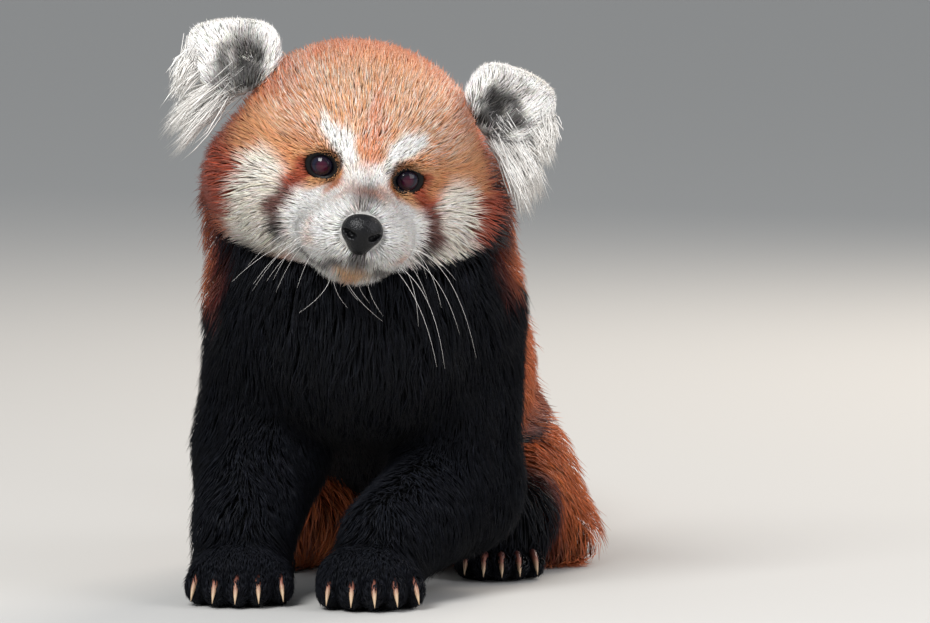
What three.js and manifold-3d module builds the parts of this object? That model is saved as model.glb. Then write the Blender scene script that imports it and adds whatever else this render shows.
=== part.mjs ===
// A life-size red panda, sitting with both forepaws set down in front of it and its head tilted at the viewer.
// Millimetres, +Z up. It looks out along -Y, its floor is z = 0, and its trunk runs back and to the viewer's right.
// Left and right in the names are the animal's own, so its left side is at +X.

import * as THREE from "three";
import { mergeVertices } from "three/addons/utils/BufferGeometryUtils.js";
import Module from "manifold-3d";

const wasm = await Module();
wasm.setup();
const { Manifold, Mesh } = wasm;

// Driving dimensions
const GAP = 0.3; // left between two sub-parts that touch
const SMOOTHING = 0.12; // points this close to their neighbours' faces are dropped
const FLOOR_ROUND = 9; // how softly the coat turns under where the body meets the floor
const TRUNK_YAW = 12; // degrees the trunk is turned away from the viewer
const TRUNK_FOOT = [-8, 0, 0]; // where the trunk's own axis starts on the floor
const WITHERS_RADIUS = 72;
const LOIN_RADIUS = 57;
const HEAD_AT = [-1, 5, 232]; // the point between the eyes' levels, inside the skull
const HEAD_TURN = { pitch: 10, roll: 10.5, yaw: 5 }; // degrees
const EYE = { across: 21.5, front: -40.5, up: 0.5, radius: 8 };
const NOSE = { at: [0, -85, -21], radii: [10.8, 8.5, 9.2] };
const EAR = { at: [70, 8, 30], tilt: 12, turn: 12, radii: [22.5, 8, 22], cup: [14.5, 7, 14], flare: 0.26, curl: 2.8 };
const TAIL_PARTS = 6; // each spans one dark ring and one pale one
const TAIL_RADIUS = [33, 39, 42, 43, 42, 38, 27];
const FLESH = { fox: "#b4532a", rust: "#8a3a22", black: "#15141a", cream: "#e8ded2", buff: "#c98a55" };

// How deep the coat lies over the flesh, from the skin to the tips
const COAT = { head: 9, ruff: 22, neck: 30, trunk: 34, chest: 26, thigh: 30, tail: 30 };

const V = (x, y, z) => new THREE.Vector3(x, y, z);
const rad = THREE.MathUtils.degToRad;
const clamp = THREE.MathUtils.clamp;
const lerp = THREE.MathUtils.lerp;

// A seeded draw between -1 and 1, so that the coat comes out the same each time.
function draws(seed) {
  let state = seed >>> 0;
  return () => {
    state = (Math.imul(state, 1664525) + 1013904223) >>> 0;
    return state / 2147483648 - 1;
  };
}

// A place given along the trunk: across it, back along it, and up.
function alongTrunk(across, back, up) {
  const yaw = rad(TRUNK_YAW);
  return V(
    TRUNK_FOOT[0] + across * Math.cos(yaw) + back * Math.sin(yaw),
    TRUNK_FOOT[1] - across * Math.sin(yaw) + back * Math.cos(yaw),
    TRUNK_FOOT[2] + up,
  );
}

// Distance functions: negative inside, and close to true millimetres near the surface.
// A limb that tapers from one round end to the other.
function taper(a, ra, b, rb) {
  const axis = b.clone().sub(a);
  const square = axis.lengthSq();
  return (p) => {
    const t = clamp(p.clone().sub(a).dot(axis) / square, 0, 1);
    return p.distanceTo(a.clone().addScaledVector(axis, t)) - lerp(ra, rb, t);
  };
}

function egg(centre, radii) {
  return (p) => {
    const q = V((p.x - centre.x) / radii[0], (p.y - centre.y) / radii[1], (p.z - centre.z) / radii[2]);
    const k0 = q.length();
    const k1 = V(q.x / radii[0], q.y / radii[1], q.z / radii[2]).length();
    return k1 < 1e-6 ? -Math.min(...radii) : (k0 * (k0 - 1)) / k1;
  };
}

// Joins forms into one with soft folds between them.
function blend(soft, ...forms) {
  return (p) =>
    forms
      .map((form) => form(p))
      .reduce((a, b) => Math.min(a, b) - Math.max(soft - Math.abs(a - b), 0) ** 2 / (4 * soft));
}

function hollow(soft, form, tool) {
  return (p) => {
    const a = form(p);
    const b = -tool(p);
    return Math.max(a, b) + Math.max(soft - Math.abs(a - b), 0) ** 2 / (4 * soft);
  };
}

function onFloor(form) {
  return hollow(FLOOR_ROUND, form, (p) => p.z);
}

function grown(form, by) {
  return (p) => form(p) - by;
}

function outward(form, p) {
  const e = 0.5;
  return V(
    form(V(p.x + e, p.y, p.z)) - form(V(p.x - e, p.y, p.z)),
    form(V(p.x, p.y + e, p.z)) - form(V(p.x, p.y - e, p.z)),
    form(V(p.x, p.y, p.z + e)) - form(V(p.x, p.y, p.z - e)),
  ).normalize();
}

// The last place where a ray that leaves a point inside the form comes out of it.
function exit(form, origin, direction, reach) {
  let far = reach;
  let near = reach;
  const at = (t) => origin.clone().addScaledVector(direction, t);
  for (let d = form(at(near)); d > 0 && near > 0; d = form(at(near))) {
    far = near;
    near -= Math.max(0.8 * d, 0.4);
  }
  for (let i = 0; i < 12; i++) {
    const middle = (near + far) / 2;
    if (form(at(middle)) > 0) far = middle;
    else near = middle;
  }
  return at(Math.max(far, 0.5));
}

// A spine's point and the way out from it, by how far along and which way round.
// Every round is square to the line between the spine's two ends, so no two of them cross.
function across(spine, t, angle) {
  const tangent = spine.getPoint(1).sub(spine.getPoint(0)).normalize();
  const side = V(0, 0, 1).cross(tangent).normalize();
  if (side.lengthSq() < 0.5) side.set(1, 0, 0);
  const top = tangent.clone().cross(side);
  const out = side.multiplyScalar(Math.cos(angle)).addScaledVector(top, Math.sin(angle));
  return { point: spine.getPointAt(t), tangent, out };
}

// The surface of a form, met by rays from a spine inside it: rounds along the spine, and a fan at each end.
// Grown, each of its points is moved straight out by that much.
function wrap(form, spine, { along, around, ends = [4, 4], reach = 160 }, grow) {
  const [first, last] = ends;
  const rows = first + along + last;
  const sphere = new THREE.SphereGeometry(1, around, rows);
  sphere.deleteAttribute("normal");
  sphere.deleteAttribute("uv");
  const geometry = mergeVertices(sphere, 1e-4);
  const place = geometry.getAttribute("position");
  for (let i = 0; i < place.count; i++) {
    const row = Math.round((Math.acos(clamp(place.getY(i), -1, 1)) / Math.PI) * rows);
    const angle = Math.atan2(place.getZ(i), place.getX(i));
    const t = clamp((row - first) / along, 0, 1);
    const lean = (Math.PI / 2) * (Math.max((row - first - along) / last, 0) - Math.max((first - row) / first, 0));
    const { point, tangent, out } = across(spine, t, angle);
    const direction = out.multiplyScalar(Math.cos(lean)).addScaledVector(tangent, Math.sin(lean));
    const met = exit(form, point, direction.normalize(), reach);
    place.setXYZ(i, ...met.addScaledVector(outward(form, met), grow).toArray());
  }
  return solid(geometry);
}

function bent(...points) {
  return new THREE.CatmullRomCurve3(points, false, "centripetal");
}

// Solids
function solid(geometry) {
  const bare = new THREE.BufferGeometry();
  bare.setAttribute("position", geometry.getAttribute("position"));
  bare.setIndex(geometry.index);
  const merged = mergeVertices(bare, 1e-4);
  const vertProperties = new Float32Array(merged.attributes.position.array);
  const made = (triVerts) => new Manifold(new Mesh({ numProp: 3, vertProperties, triVerts }));
  const body = made(new Uint32Array(merged.index.array));
  return body.volume() > 0 ? body : made(new Uint32Array(merged.index.array).reverse());
}

function geometryOf(body) {
  const mesh = body.getMesh();
  const geometry = new THREE.BufferGeometry();
  geometry.setAttribute("position", new THREE.BufferAttribute(new Float32Array(mesh.vertProperties), 3));
  geometry.setIndex(new THREE.BufferAttribute(new Uint32Array(mesh.triVerts), 1));
  geometry.computeVertexNormals();
  return geometry;
}

function largest(body) {
  return body.decompose().reduce((a, b) => (b.volume() > a.volume() ? b : a));
}

// One clean body: points that lie within a hair of one another become one, and loose crumbs are dropped.
function cleaned(body) {
  const loose = geometryOf(largest(body)).toNonIndexed();
  loose.deleteAttribute("normal");
  const merged = mergeVertices(loose, 2e-3);
  const vertProperties = new Float32Array(merged.attributes.position.array);
  return largest(new Manifold(new Mesh({ numProp: 3, vertProperties, triVerts: new Uint32Array(merged.index.array) })));
}

function ball(centre, radii, { around = 12, rows = 8, turn = [0, 0, 0] } = {}) {
  const geometry = new THREE.SphereGeometry(1, around, rows);
  geometry.applyMatrix4(
    new THREE.Matrix4().compose(
      V(...centre),
      new THREE.Quaternion().setFromEuler(new THREE.Euler(...turn.map(rad))),
      V(...radii),
    ),
  );
  return solid(geometry);
}

// A tapered rod of a few flat sides that follows points: a claw or a lock of hair.
// Each station gives its place, its half width, its half thickness and the way its face looks.
function blade(stations, sides = 4) {
  const segments = stations.length - 1;
  const cone = new THREE.ConeGeometry(1, 1, sides, segments);
  cone.deleteAttribute("normal");
  cone.deleteAttribute("uv");
  const geometry = mergeVertices(cone, 1e-5);
  const place = geometry.getAttribute("position");
  for (let i = 0; i < place.count; i++) {
    const row = Math.round((place.getY(i) + 0.5) * segments);
    const { at, wide, thick, face } = stations[row];
    const next = stations[Math.min(row + 1, segments)].at;
    const last = stations[Math.max(row - 1, 0)].at;
    const ahead = next.clone().sub(last).normalize();
    const side = ahead.clone().cross(face).normalize();
    const top = side.clone().cross(ahead);
    const middle = Math.hypot(place.getX(i), place.getZ(i)) < 1e-6;
    const angle = Math.atan2(place.getZ(i), place.getX(i)) + Math.PI / 2;
    const w = middle ? 0 : wide * Math.cos(angle);
    const h = middle ? 0 : thick * Math.sin(angle);
    place.setXYZ(i, ...at.clone().addScaledVector(side, w).addScaledVector(top, h).toArray());
  }
  return solid(geometry);
}

// A blade's stations, drawn out at both ends by how much it is grown
function lengthened(stations, grow) {
  const last = stations.length - 1;
  const ahead = (i, k) => stations[k].at.clone().sub(stations[i].at).normalize();
  const back = ahead(1, 0);
  const front = ahead(last - 1, last);
  stations[0].at.addScaledVector(back, grow);
  stations[last].at.addScaledVector(front, 3 * grow);
  return stations;
}

// One lock of the coat: it starts sunk in the core, lies along the flow and rises to the coat's outer surface.
function lock(form, root, flow, { length, wide, thick, depth, lift = 0 }, grow) {
  const steps = 3;
  const stations = [];
  const p = root.clone();
  for (let i = 0; i <= steps; i++) {
    const s = i / steps;
    const face = outward(form, p);
    const level = -0.5 * depth * (1 - s) ** 2 - (i === 0 ? 0.22 * depth : 0) + lift * s * s;
    p.addScaledVector(face, level - form(p));
    const full = Math.sin(Math.PI * (0.2 + 0.8 * s) ** 0.9) ** 0.7;
    stations.push({
      at: p.clone(),
      wide: (i === steps ? 0 : (wide / 2) * full) + grow,
      thick: (i === steps ? 0 : (thick / 2) * lerp(1, 0.55, s)) + grow,
      face,
    });
    const way = flow(p).clone();
    way.addScaledVector(face, -way.dot(face)).normalize();
    p.addScaledVector(way, length / steps);
  }
  return blade(lengthened(stations, grow));
}

// A lock that hangs free along three points, with its flat side turned one way
function hanging([root, middle, tip], { wide, thick }, face, grow) {
  const curve = new THREE.QuadraticBezierCurve3(V(...root), V(...middle), V(...tip));
  const full = [0.7, 1, 0.72, 0.02];
  const stations = full.map((part, i) => ({
    at: curve.getPoint(i / (full.length - 1)),
    wide: (wide / 2) * part + grow,
    thick: (thick / 2) * part + grow,
    face,
  }));
  return blade(lengthened(stations, grow));
}

// The animal's forms, to the tips of the coat
const headForm = (() => {
  const pair = (x, y, z, radii) => [egg(V(x, y, z), radii), egg(V(-x, y, z), radii)];
  const skull = blend(
    20,
    egg(V(0, 8, 9), [61, 54, 48]),
    egg(V(0, -14, 14), [47, 37, 38]),
    ...pair(41, 2, -20, [37, 42, 31]),
    ...pair(24, -18, -32, [30, 32, 22]),
  );
  const muzzle = blend(
    9,
    taper(V(0, -30, -19), 27, V(0, -66, -24), 18.5),
    ...pair(12.5, -64, -29, [16.5, 18, 13.5]),
    taper(V(0, -28, -1), 17, V(0, -80, -16), 8.5),
    egg(V(0, -57, -41), [16, 18, 10.5]),
  );
  const brows = blend(6, ...pair(19, -40, 13, [15, 10, 9]));
  const face = blend(9, blend(15, skull, muzzle), brows);
  return hollow(5, face, blend(2, ...pair(EYE.across + 1, EYE.front - 14, EYE.up, [10, 9, 8])));
})();

const trunkForm = onFloor(
  blend(
    26,
    egg(V(-2, 38, 196), [82, 60, 62]),
    taper(V(0, 34, 190), 62, alongTrunk(0, 46, 166), 72),
    taper(alongTrunk(0, 40, 150), WITHERS_RADIUS, alongTrunk(0, 140, 112), 66),
    taper(alongTrunk(0, 140, 112), 66, alongTrunk(0, 228, 82), LOIN_RADIUS),
    taper(alongTrunk(0, 200, 58), 55, alongTrunk(0, 250, 44), 46),
  ),
);
const trunkSpine = new THREE.CubicBezierCurve3(
  V(-1, 32, 200),
  alongTrunk(0, 62, 128),
  alongTrunk(0, 150, 118),
  alongTrunk(0, 244, 52),
);

const foreleg = {
  right: { shoulder: V(-45, 46, 150), elbow: V(-52, 48, 76), wrist: V(-61, 0, 33), radii: [38, 35, 28] },
  left: { shoulder: V(50, 46, 150), elbow: V(50, 50, 54), wrist: V(14, -16, 32), radii: [38, 34, 27] },
};
function forelegForm({ shoulder, elbow, wrist, radii }) {
  return onFloor(blend(14, taper(shoulder, radii[0], elbow, radii[1]), taper(elbow, radii[1], wrist, radii[2])));
}

function thighForm(side) {
  const at = (u, v, z) => alongTrunk(side * u, v, z);
  return onFloor(
    blend(
      16,
      taper(at(22, 206, 60), 46, at(52, 202, 6), 48),
      taper(at(38, 208, 46), 42, at(56, 140, 32), 31),
    ),
  );
}

const tailSpine = bent(
  alongTrunk(0, 280, 46),
  V(54, 322, 44),
  V(56, 370, 43),
  V(50, 430, 43),
  V(38, 510, 43),
  V(30, 585, 42),
  V(38, 652, 37),
);
const tailForm = onFloor(
  blend(
    10,
    ...TAIL_RADIUS.slice(1).map((radius, i) => {
      const n = TAIL_RADIUS.length - 1;
      return taper(tailSpine.getPoint(i / n), TAIL_RADIUS[i], tailSpine.getPoint((i + 1) / n), radius);
    }),
  ),
);

// Groups: the head and each foot stand in frames of their own
const panda = new THREE.Group();
function frame(parent, at, turn = [0, 0, 0], order = "XYZ") {
  const group = new THREE.Group();
  group.position.set(...at);
  group.rotation.set(...turn.map(rad), order);
  parent.add(group);
  return group;
}
const headGroup = frame(panda, HEAD_AT, [HEAD_TURN.pitch, HEAD_TURN.roll, HEAD_TURN.yaw], "ZXY");

const subParts = [];
// make(grow) gives the sub-part in its group's frame, grown by that much: its neighbours are cut clear of it so.
function subPart(name, group, colour, roughness, make) {
  subParts.push({ name, group, colour, roughness, make });
}

// Head
function eye(side) {
  return (grow) =>
    ball([side * EYE.across, EYE.front, EYE.up], Array(3).fill(EYE.radius + grow), { around: 12, rows: 8 });
}

function nose(grow) {
  const [x, y, z] = NOSE.at;
  const pad = ball([x, y, z], NOSE.radii.map((r) => r + grow), { around: 12, rows: 8 });
  const foot = ball([x, y + 1, z - 7], [6 + grow, 6.5 + grow, 6 + grow], { around: 8, rows: 6 });
  let made = pad.add(foot);
  if (grow) return made;
  for (const side of [-1, 1]) {
    made = made.subtract(ball([side * 5.8, y - 7.4, z - 2], [2.7, 4, 2], { around: 8, rows: 6 }));
  }
  return made;
}

function eyelids(side) {
  const ring = new THREE.TorusGeometry(7.3, 1.8, 4, 14);
  ring.applyMatrix4(
    new THREE.Matrix4().compose(
      V(side * (EYE.across + 0.6), EYE.front - 4.2, EYE.up),
      new THREE.Quaternion().setFromEuler(new THREE.Euler(rad(90), rad(side * -9), rad(side * 17), "ZYX")),
      V(1.12, 0.88, 1),
    ),
  );
  return solid(ring);
}

// The line of the mouth runs from under the nose round to a corner on each cheek.
const mouthCurve = bent(
  V(-27, -50, -41),
  V(-21, -62, -42),
  V(-11, -76, -40),
  V(0, -80, -36),
  V(11, -76, -40),
  V(21, -62, -42),
  V(27, -50, -41),
);
function mouthSlit() {
  const section = new THREE.Shape([
    new THREE.Vector2(-0.7, -6),
    new THREE.Vector2(0.7, -6),
    new THREE.Vector2(0.7, 6),
    new THREE.Vector2(-0.7, 6),
  ]);
  return solid(new THREE.ExtrudeGeometry(section, { steps: 10, extrudePath: mouthCurve, bevelEnabled: false }));
}

function head(grow) {
  const spine = bent(V(0, 16, 2), V(0, -34, -12));
  const core = wrap(headForm, spine, { along: 4, around: 28, ends: [3, 12], reach: 120 }, grow);
  if (grow) return core;
  const sockets = [-1, 1].map((side) =>
    ball([side * (EYE.across + 1), EYE.front - 9.5, EYE.up], [10.5, 7, 8.5], { around: 10, rows: 6 }),
  );
  const lids = [-1, 1].map(eyelids);
  const face = core.subtract(Manifold.union(sockets));
  return Manifold.union([face, ...lids]).subtract(mouthSlit());
}

function earShape(side, radii, at, around, rows) {
  const [x, y, z] = EAR.at;
  const turn = new THREE.Euler(0, side * rad(EAR.tilt), side * rad(EAR.turn), "ZYX");
  const geometry = new THREE.SphereGeometry(1, around, rows);
  geometry.applyMatrix4(new THREE.Matrix4().compose(V(...at), new THREE.Quaternion(), V(...radii)));
  const place = geometry.getAttribute("position");
  for (let i = 0; i < place.count; i++) {
    const up = place.getZ(i) / EAR.radii[2];
    const out = place.getX(i) / EAR.radii[0];
    place.setZ(i, place.getZ(i) * (1 + 0.14 * Math.max(up, 0) * out ** 2));
    place.setY(i, place.getY(i) - EAR.curl * out ** 2);
    place.setX(i, place.getX(i) * (1 + EAR.flare * up));
  }
  geometry.applyMatrix4(
    new THREE.Matrix4().compose(V(side * x, y, z), new THREE.Quaternion().setFromEuler(turn), V(1, 1, 1)),
  );
  return solid(geometry);
}

// Long white hair hangs out and down from the foot of each ear.
const PLUME = [
  { path: [[77, 11, 30], [91, 8, 22], [100, 6, 2]], size: { wide: 11, thick: 5 } },
  { path: [[74, 10, 26], [91, 7, 10], [104, 4, -15]], size: { wide: 14, thick: 6 } },
  { path: [[72, 9, 21], [86, 6, 2], [98, 3, -22]], size: { wide: 14, thick: 6 } },
  { path: [[69, 8, 20], [81, 4, -6], [88, 2, -29]], size: { wide: 13, thick: 5 } },
  { path: [[75, 13, 25], [91, 18, 8], [97, 20, -13]], size: { wide: 13, thick: 6 } },
];
function plume(side, grow) {
  const mirrored = ([x, y, z]) => [side * x, y, z];
  const face = V(side * 0.35, -1, 0.1).normalize();
  return PLUME.map(({ path, size }) => hanging(path.map(mirrored), size, face, grow));
}

function ear(side) {
  return (grow) => {
    const pinna = earShape(side, EAR.radii.map((r) => r + grow), [0, 0, 6], 14, 8);
    const whole = Manifold.union([pinna, ...plume(side, grow)]);
    return grow ? whole : whole.subtract(earShape(side, EAR.cup, [0, -7.5, 8], 10, 6));
  };
}

// Feet
const TOES = 5;
function footParts(foot) {
  const toes = [];
  const claws = [];
  for (let i = 0; i < TOES; i++) {
    const k = i - (TOES - 1) / 2;
    const aim = rad(k * foot.splay);
    const ahead = V(Math.sin(aim), -Math.cos(aim), 0);
    const root = V(k * foot.spacing, foot.knuckle + 3.2 * k * k, foot.toe[2]);
    toes.push({ at: root.clone().addScaledVector(ahead, foot.toe[1] * 0.6), turn: aim, radii: foot.toe });
    const base = root.clone().addScaledVector(ahead, foot.toe[1] * 1.2).setZ(foot.toe[2] * 1.5);
    claws.push({ base, ahead });
  }
  return { toes, claws };
}

function paw(foot) {
  return (grow) => {
    const more = (radii) => radii.map((r) => r + grow);
    const pieces = [ball(foot.palmAt, more(foot.palm), { around: 11, rows: 7 })];
    for (const toe of footParts(foot).toes) {
      const turn = [0, 0, THREE.MathUtils.radToDeg(toe.turn)];
      pieces.push(ball(toe.at.toArray(), more(toe.radii), { around: 7, rows: 4, turn }));
    }
    return Manifold.union(pieces);
  };
}

// A claw curves down from the toe and ends just clear of the floor.
function claw({ base, ahead }, length) {
  return (grow) => {
    const steps = 3;
    const stations = [];
    for (let i = 0; i <= steps; i++) {
      const s = i / steps;
      const at = base.clone().addScaledVector(ahead, length * (s - 0.34) * (1 - 0.18 * s));
      at.z += 1 - (base.z - 2.4) * s * s;
      const face = V(0, 0, 1).addScaledVector(ahead, s);
      stations.push({
        at,
        wide: (i === steps ? 0.15 : lerp(2.1, 0.9, s)) + grow,
        thick: (i === steps ? 0.15 : lerp(2.9, 1.1, s)) + grow,
        face,
      });
    }
    return blade(stations, 4);
  };
}

const FOREFOOT = {
  palmAt: [0, -12, 14], palm: [27, 29, 19], toe: [8.4, 14, 10], spacing: 8.4, splay: 8, knuckle: -25, claw: 17,
};
const HINDFOOT = {
  palmAt: [0, 2, 11], palm: [22, 42, 13], toe: [7.4, 14, 8.2], spacing: 7.6, splay: 5, knuckle: -36, claw: 15,
};
const feet = [
  { name: "forepaw_right", size: FOREFOOT, group: frame(panda, [-61, -6, 0], [0, 0, -3]) },
  { name: "forepaw_left", size: FOREFOOT, group: frame(panda, [4, -24, 0], [0, 0, 5]) },
  { name: "hindfoot_right", size: HINDFOOT, group: frame(panda, alongTrunk(-70, 158, 0).toArray(), [0, 0, -26]) },
  { name: "hindfoot_left", size: HINDFOOT, group: frame(panda, alongTrunk(50, 150, 0).toArray(), [0, 0, 2]) },
];

// The trunk is made whole and parted by two flat cuts: one behind the neck, one along the edge of the black belly.
const NECK_CUT = { at: V(0, 40, 184), normal: V(0.03, 0.5, 0.87).normalize() };
const BELLY_CUT = { at: V(0, -14, 182), normal: V(0, -0.56, -0.83).normalize() };
function above(body, cut, grow) {
  const n = cut.normal;
  return body.trimByPlane(n.toArray(), n.dot(cut.at) + GAP / 2 - grow);
}
function below(body, cut, grow) {
  const n = cut.normal.clone().negate();
  return body.trimByPlane(n.toArray(), n.dot(cut.at) + GAP / 2 - grow);
}
function trunkWhole(grow) {
  return wrap(trunkForm, trunkSpine, { along: 9, around: 17, ends: [4, 3], reach: 170 }, grow);
}
function neck(grow) {
  return above(trunkWhole(grow), NECK_CUT, grow);
}
function torso(grow) {
  return below(below(trunkWhole(grow), NECK_CUT, grow), BELLY_CUT, grow);
}
function chest(grow) {
  return above(below(trunkWhole(grow), NECK_CUT, grow), BELLY_CUT, grow);
}

function forelegSolid(leg) {
  const form = forelegForm(leg);
  const spine = new THREE.QuadraticBezierCurve3(leg.shoulder, leg.elbow, leg.wrist);
  return (grow) => wrap(form, spine, { along: 7, around: 12, ends: [3, 3], reach: 90 }, grow);
}

function thighSolid(side) {
  const form = thighForm(side);
  const at = (u, v, z) => alongTrunk(side * u, v, z);
  const spine = bent(at(32, 228, 44), at(42, 192, 38), at(54, 144, 30));
  return (grow) => wrap(form, spine, { along: 5, around: 14, ends: [4, 3], reach: 120 }, grow);
}

// The cuts between the tail's parts fall midway between the rounds of its surface.
function tailCut(i) {
  const normal = tailSpine.getPoint(1).sub(tailSpine.getPoint(0)).normalize();
  return { at: tailSpine.getPointAt((2 * i + 0.5) / 13), normal };
}
const TAIL_LOCKS = { count: 6, wide: 42, thick: 12, depth: COAT.tail, before: 8 };
function tailLocks(i, grow) {
  const draw = draws(40 + i);
  const start = tailCut(i).at;
  const flow = () => tailCut(0).normal;
  const locks = [];
  for (let k = 0; k < TAIL_LOCKS.count; k++) {
    const angle = (2 * Math.PI * (k + 0.5 * (i % 2) + 0.18 * draw())) / TAIL_LOCKS.count;
    const { out } = across(tailSpine, 0, angle);
    const root = exit(grown(tailForm, -0.5 * COAT.tail), start, out, 90);
    root.addScaledVector(flow(), -TAIL_LOCKS.before);
    const length = tailCut(i + 1).at.clone().sub(start).dot(flow()) + TAIL_LOCKS.before - 1 + 2 * draw();
    locks.push(lock(tailForm, root, flow, { ...TAIL_LOCKS, length }, grow));
  }
  return locks;
}

// Each part is a core half way up the coat, with a crown of locks that rise back to the tail's outer surface.
function tailPart(i) {
  return (grow) => {
    const core = wrap(
      grown(tailForm, -0.5 * COAT.tail),
      tailSpine,
      { along: 13, around: 10, ends: [2, 3], reach: 90 },
      grow,
    );
    const whole = Manifold.union([core, ...tailLocks(i, grow)]);
    const opened = i === 0 ? whole : above(whole, tailCut(i), grow);
    return (i === TAIL_PARTS - 1 ? opened : below(opened, tailCut(i + 1), grow)).simplify(0.5);
  };
}

// The sub-parts, in the order in which they keep their shape: each is cut clear of those before it.
for (const foot of feet) {
  footParts(foot.size).claws.forEach((seat, i) => {
    subPart(`claw_${foot.name}_${i + 1}`, foot.group, "#c9b09a", 0.45, claw(seat, foot.size.claw));
  });
  subPart(foot.name, foot.group, FLESH.black, 0.9, paw(foot.size));
}
for (const [side, sign] of [["left", 1], ["right", -1]]) {
  subPart(`eye_${side}`, headGroup, "#120b0c", 0.08, eye(sign));
}
subPart("nose", headGroup, "#1b1b20", 0.4, nose);
for (const [side, sign] of [["left", 1], ["right", -1]]) {
  subPart(`ear_${side}`, headGroup, FLESH.cream, 0.9, ear(sign));
}
subPart("head", headGroup, "#c07a4d", 0.9, head);
for (const side of ["left", "right"]) {
  subPart(`foreleg_${side}`, panda, FLESH.black, 0.9, forelegSolid(foreleg[side]));
}
for (const [side, sign] of [["left", 1], ["right", -1]]) {
  subPart(`thigh_${side}`, panda, FLESH.fox, 0.9, thighSolid(sign));
}
subPart("neck", panda, FLESH.fox, 0.9, neck);
subPart("torso", panda, FLESH.fox, 0.9, torso);
subPart("chest", panda, FLESH.black, 0.9, chest);
for (let i = 0; i < TAIL_PARTS; i++) {
  subPart(`tail_part_${i + 1}`, panda, i % 2 ? FLESH.buff : FLESH.rust, 0.9, tailPart(i));
}

function apart(a, b) {
  return ["x", "y", "z"].some((_, k) => a.min[k] > b.max[k] || b.min[k] > a.max[k]);
}

panda.updateMatrixWorld(true);
const keepers = [];
for (const { name, group, colour, roughness, make } of subParts) {
  const world = group.matrixWorld;
  let body = make(0).transform(world.elements);
  for (const kept of keepers) {
    if (!apart(kept.boundingBox(), body.boundingBox())) body = body.subtract(kept);
  }
  body = cleaned(body.trimByPlane([0, 0, 1], 0).simplify(SMOOTHING));
  keepers.push(make(GAP).transform(world.elements));
  const material = new THREE.MeshStandardMaterial({ color: colour, roughness, metalness: 0 });
  const mesh = new THREE.Mesh(geometryOf(body.transform(world.clone().invert().elements)), material);
  mesh.name = name;
  group.add(mesh);
}

// The origin is on the floor, under the middle of the animal's box.
const box = new THREE.Box3().setFromObject(panda, true);
const middle = box.getCenter(V(0, 0, 0));
panda.position.set(-middle.x, -middle.y, 0);
panda.updateMatrixWorld(true);

export default panda;
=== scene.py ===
# A life-size red panda: its skin, coat and face, built around the part's solids.
# Forms are in millimetres, in the frame that the part's source works in, until a mesh is made of them.

import math

import bpy
import numpy as np
from bpy.props import FloatProperty, FloatVectorProperty, PointerProperty
from mathutils import Matrix, Vector


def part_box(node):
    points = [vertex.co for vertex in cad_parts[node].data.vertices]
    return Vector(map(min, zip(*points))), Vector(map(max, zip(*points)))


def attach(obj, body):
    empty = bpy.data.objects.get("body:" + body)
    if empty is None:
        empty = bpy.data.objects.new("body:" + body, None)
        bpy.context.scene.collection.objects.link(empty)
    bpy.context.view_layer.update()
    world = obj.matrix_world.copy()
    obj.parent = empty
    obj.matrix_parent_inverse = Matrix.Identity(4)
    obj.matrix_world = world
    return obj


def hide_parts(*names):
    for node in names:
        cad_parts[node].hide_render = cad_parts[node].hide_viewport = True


bl_info = {
    "name": "Red panda",
    "version": (1, 0, 0),
    "blender": (4, 5, 0),
    "location": "3D View > Sidebar > Red panda",
    "description": "Builds a life-size sitting red panda with its skin, coat, eyes, nose and claws",
    "category": "Object",
}

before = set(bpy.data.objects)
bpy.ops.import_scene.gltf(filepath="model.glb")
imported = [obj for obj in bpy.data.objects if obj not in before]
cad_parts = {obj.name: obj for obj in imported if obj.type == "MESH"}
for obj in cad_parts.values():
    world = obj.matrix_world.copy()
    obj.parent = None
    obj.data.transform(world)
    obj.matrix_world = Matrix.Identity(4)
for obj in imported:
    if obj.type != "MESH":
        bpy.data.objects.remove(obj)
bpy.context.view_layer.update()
MM = 0.001
# A distance past which a form no longer counts
FAR = 60.0
# The trunk's turn in degrees, and where the forms sit
TRUNK_YAW = 12
TRUNK_FOOT = (-8, 0, 0)
HEAD_AT = np.array((-1, 5, 232), np.float32)
HEAD_TURN = (10, 10.5, 5)
EYE_AT = (21.5, -40.5, 0.5)
EYE_OPENING = (21.5, -44, 0.5)
EYE_RADIUS = 8.0
NOSE_AT = (0, -85, -21)


# Distance forms: negative inside, and close to true millimetres near the surface.
def length(v):
    return np.sqrt(np.einsum("ij,ij->i", v, v))


def unit(v):
    return v / np.maximum(length(v), 1e-6)[:, None]


def taper(a, ra, b, rb):
    a, b = np.array(a, np.float32), np.array(b, np.float32)
    axis = b - a
    square = float(axis @ axis)

    def form(p):
        t = np.clip((p - a) @ axis / square, 0, 1)
        return length(p - a - t[:, None] * axis) - (ra + (rb - ra) * t)

    return form


def egg(centre, radii):
    centre, radii = np.array(centre, np.float32), np.array(radii, np.float32)

    def form(p):
        q = (p - centre) / radii
        k0 = length(q)
        return k0 * (k0 - 1) / np.maximum(length(q / radii), 1e-6)

    return form


def melt(a, b, soft):
    return np.minimum(a, b) - np.maximum(soft - np.abs(a - b), 0) ** 2 / (4 * soft)


def blend(soft, *forms):
    def form(p):
        d = forms[0](p)
        for other in forms[1:]:
            d = melt(d, other(p), soft)
        return d

    return form


def hollow(soft, body, tool):
    return lambda p: -melt(-body(p), tool(p), soft)


def on_floor(form, soft=9):
    return hollow(soft, form, lambda p: p[:, 2])


def within(low, high, form):
    """The form near its own box, and far off elsewhere, which saves working it out."""
    low, high = np.array(low, np.float32), np.array(high, np.float32)

    def held(p):
        out = np.full(len(p), FAR, np.float32)
        near = np.all((p > low) & (p < high), axis=1)
        if near.any():
            out[near] = np.minimum(form(p[near]), FAR)
        return out

    return held


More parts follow.
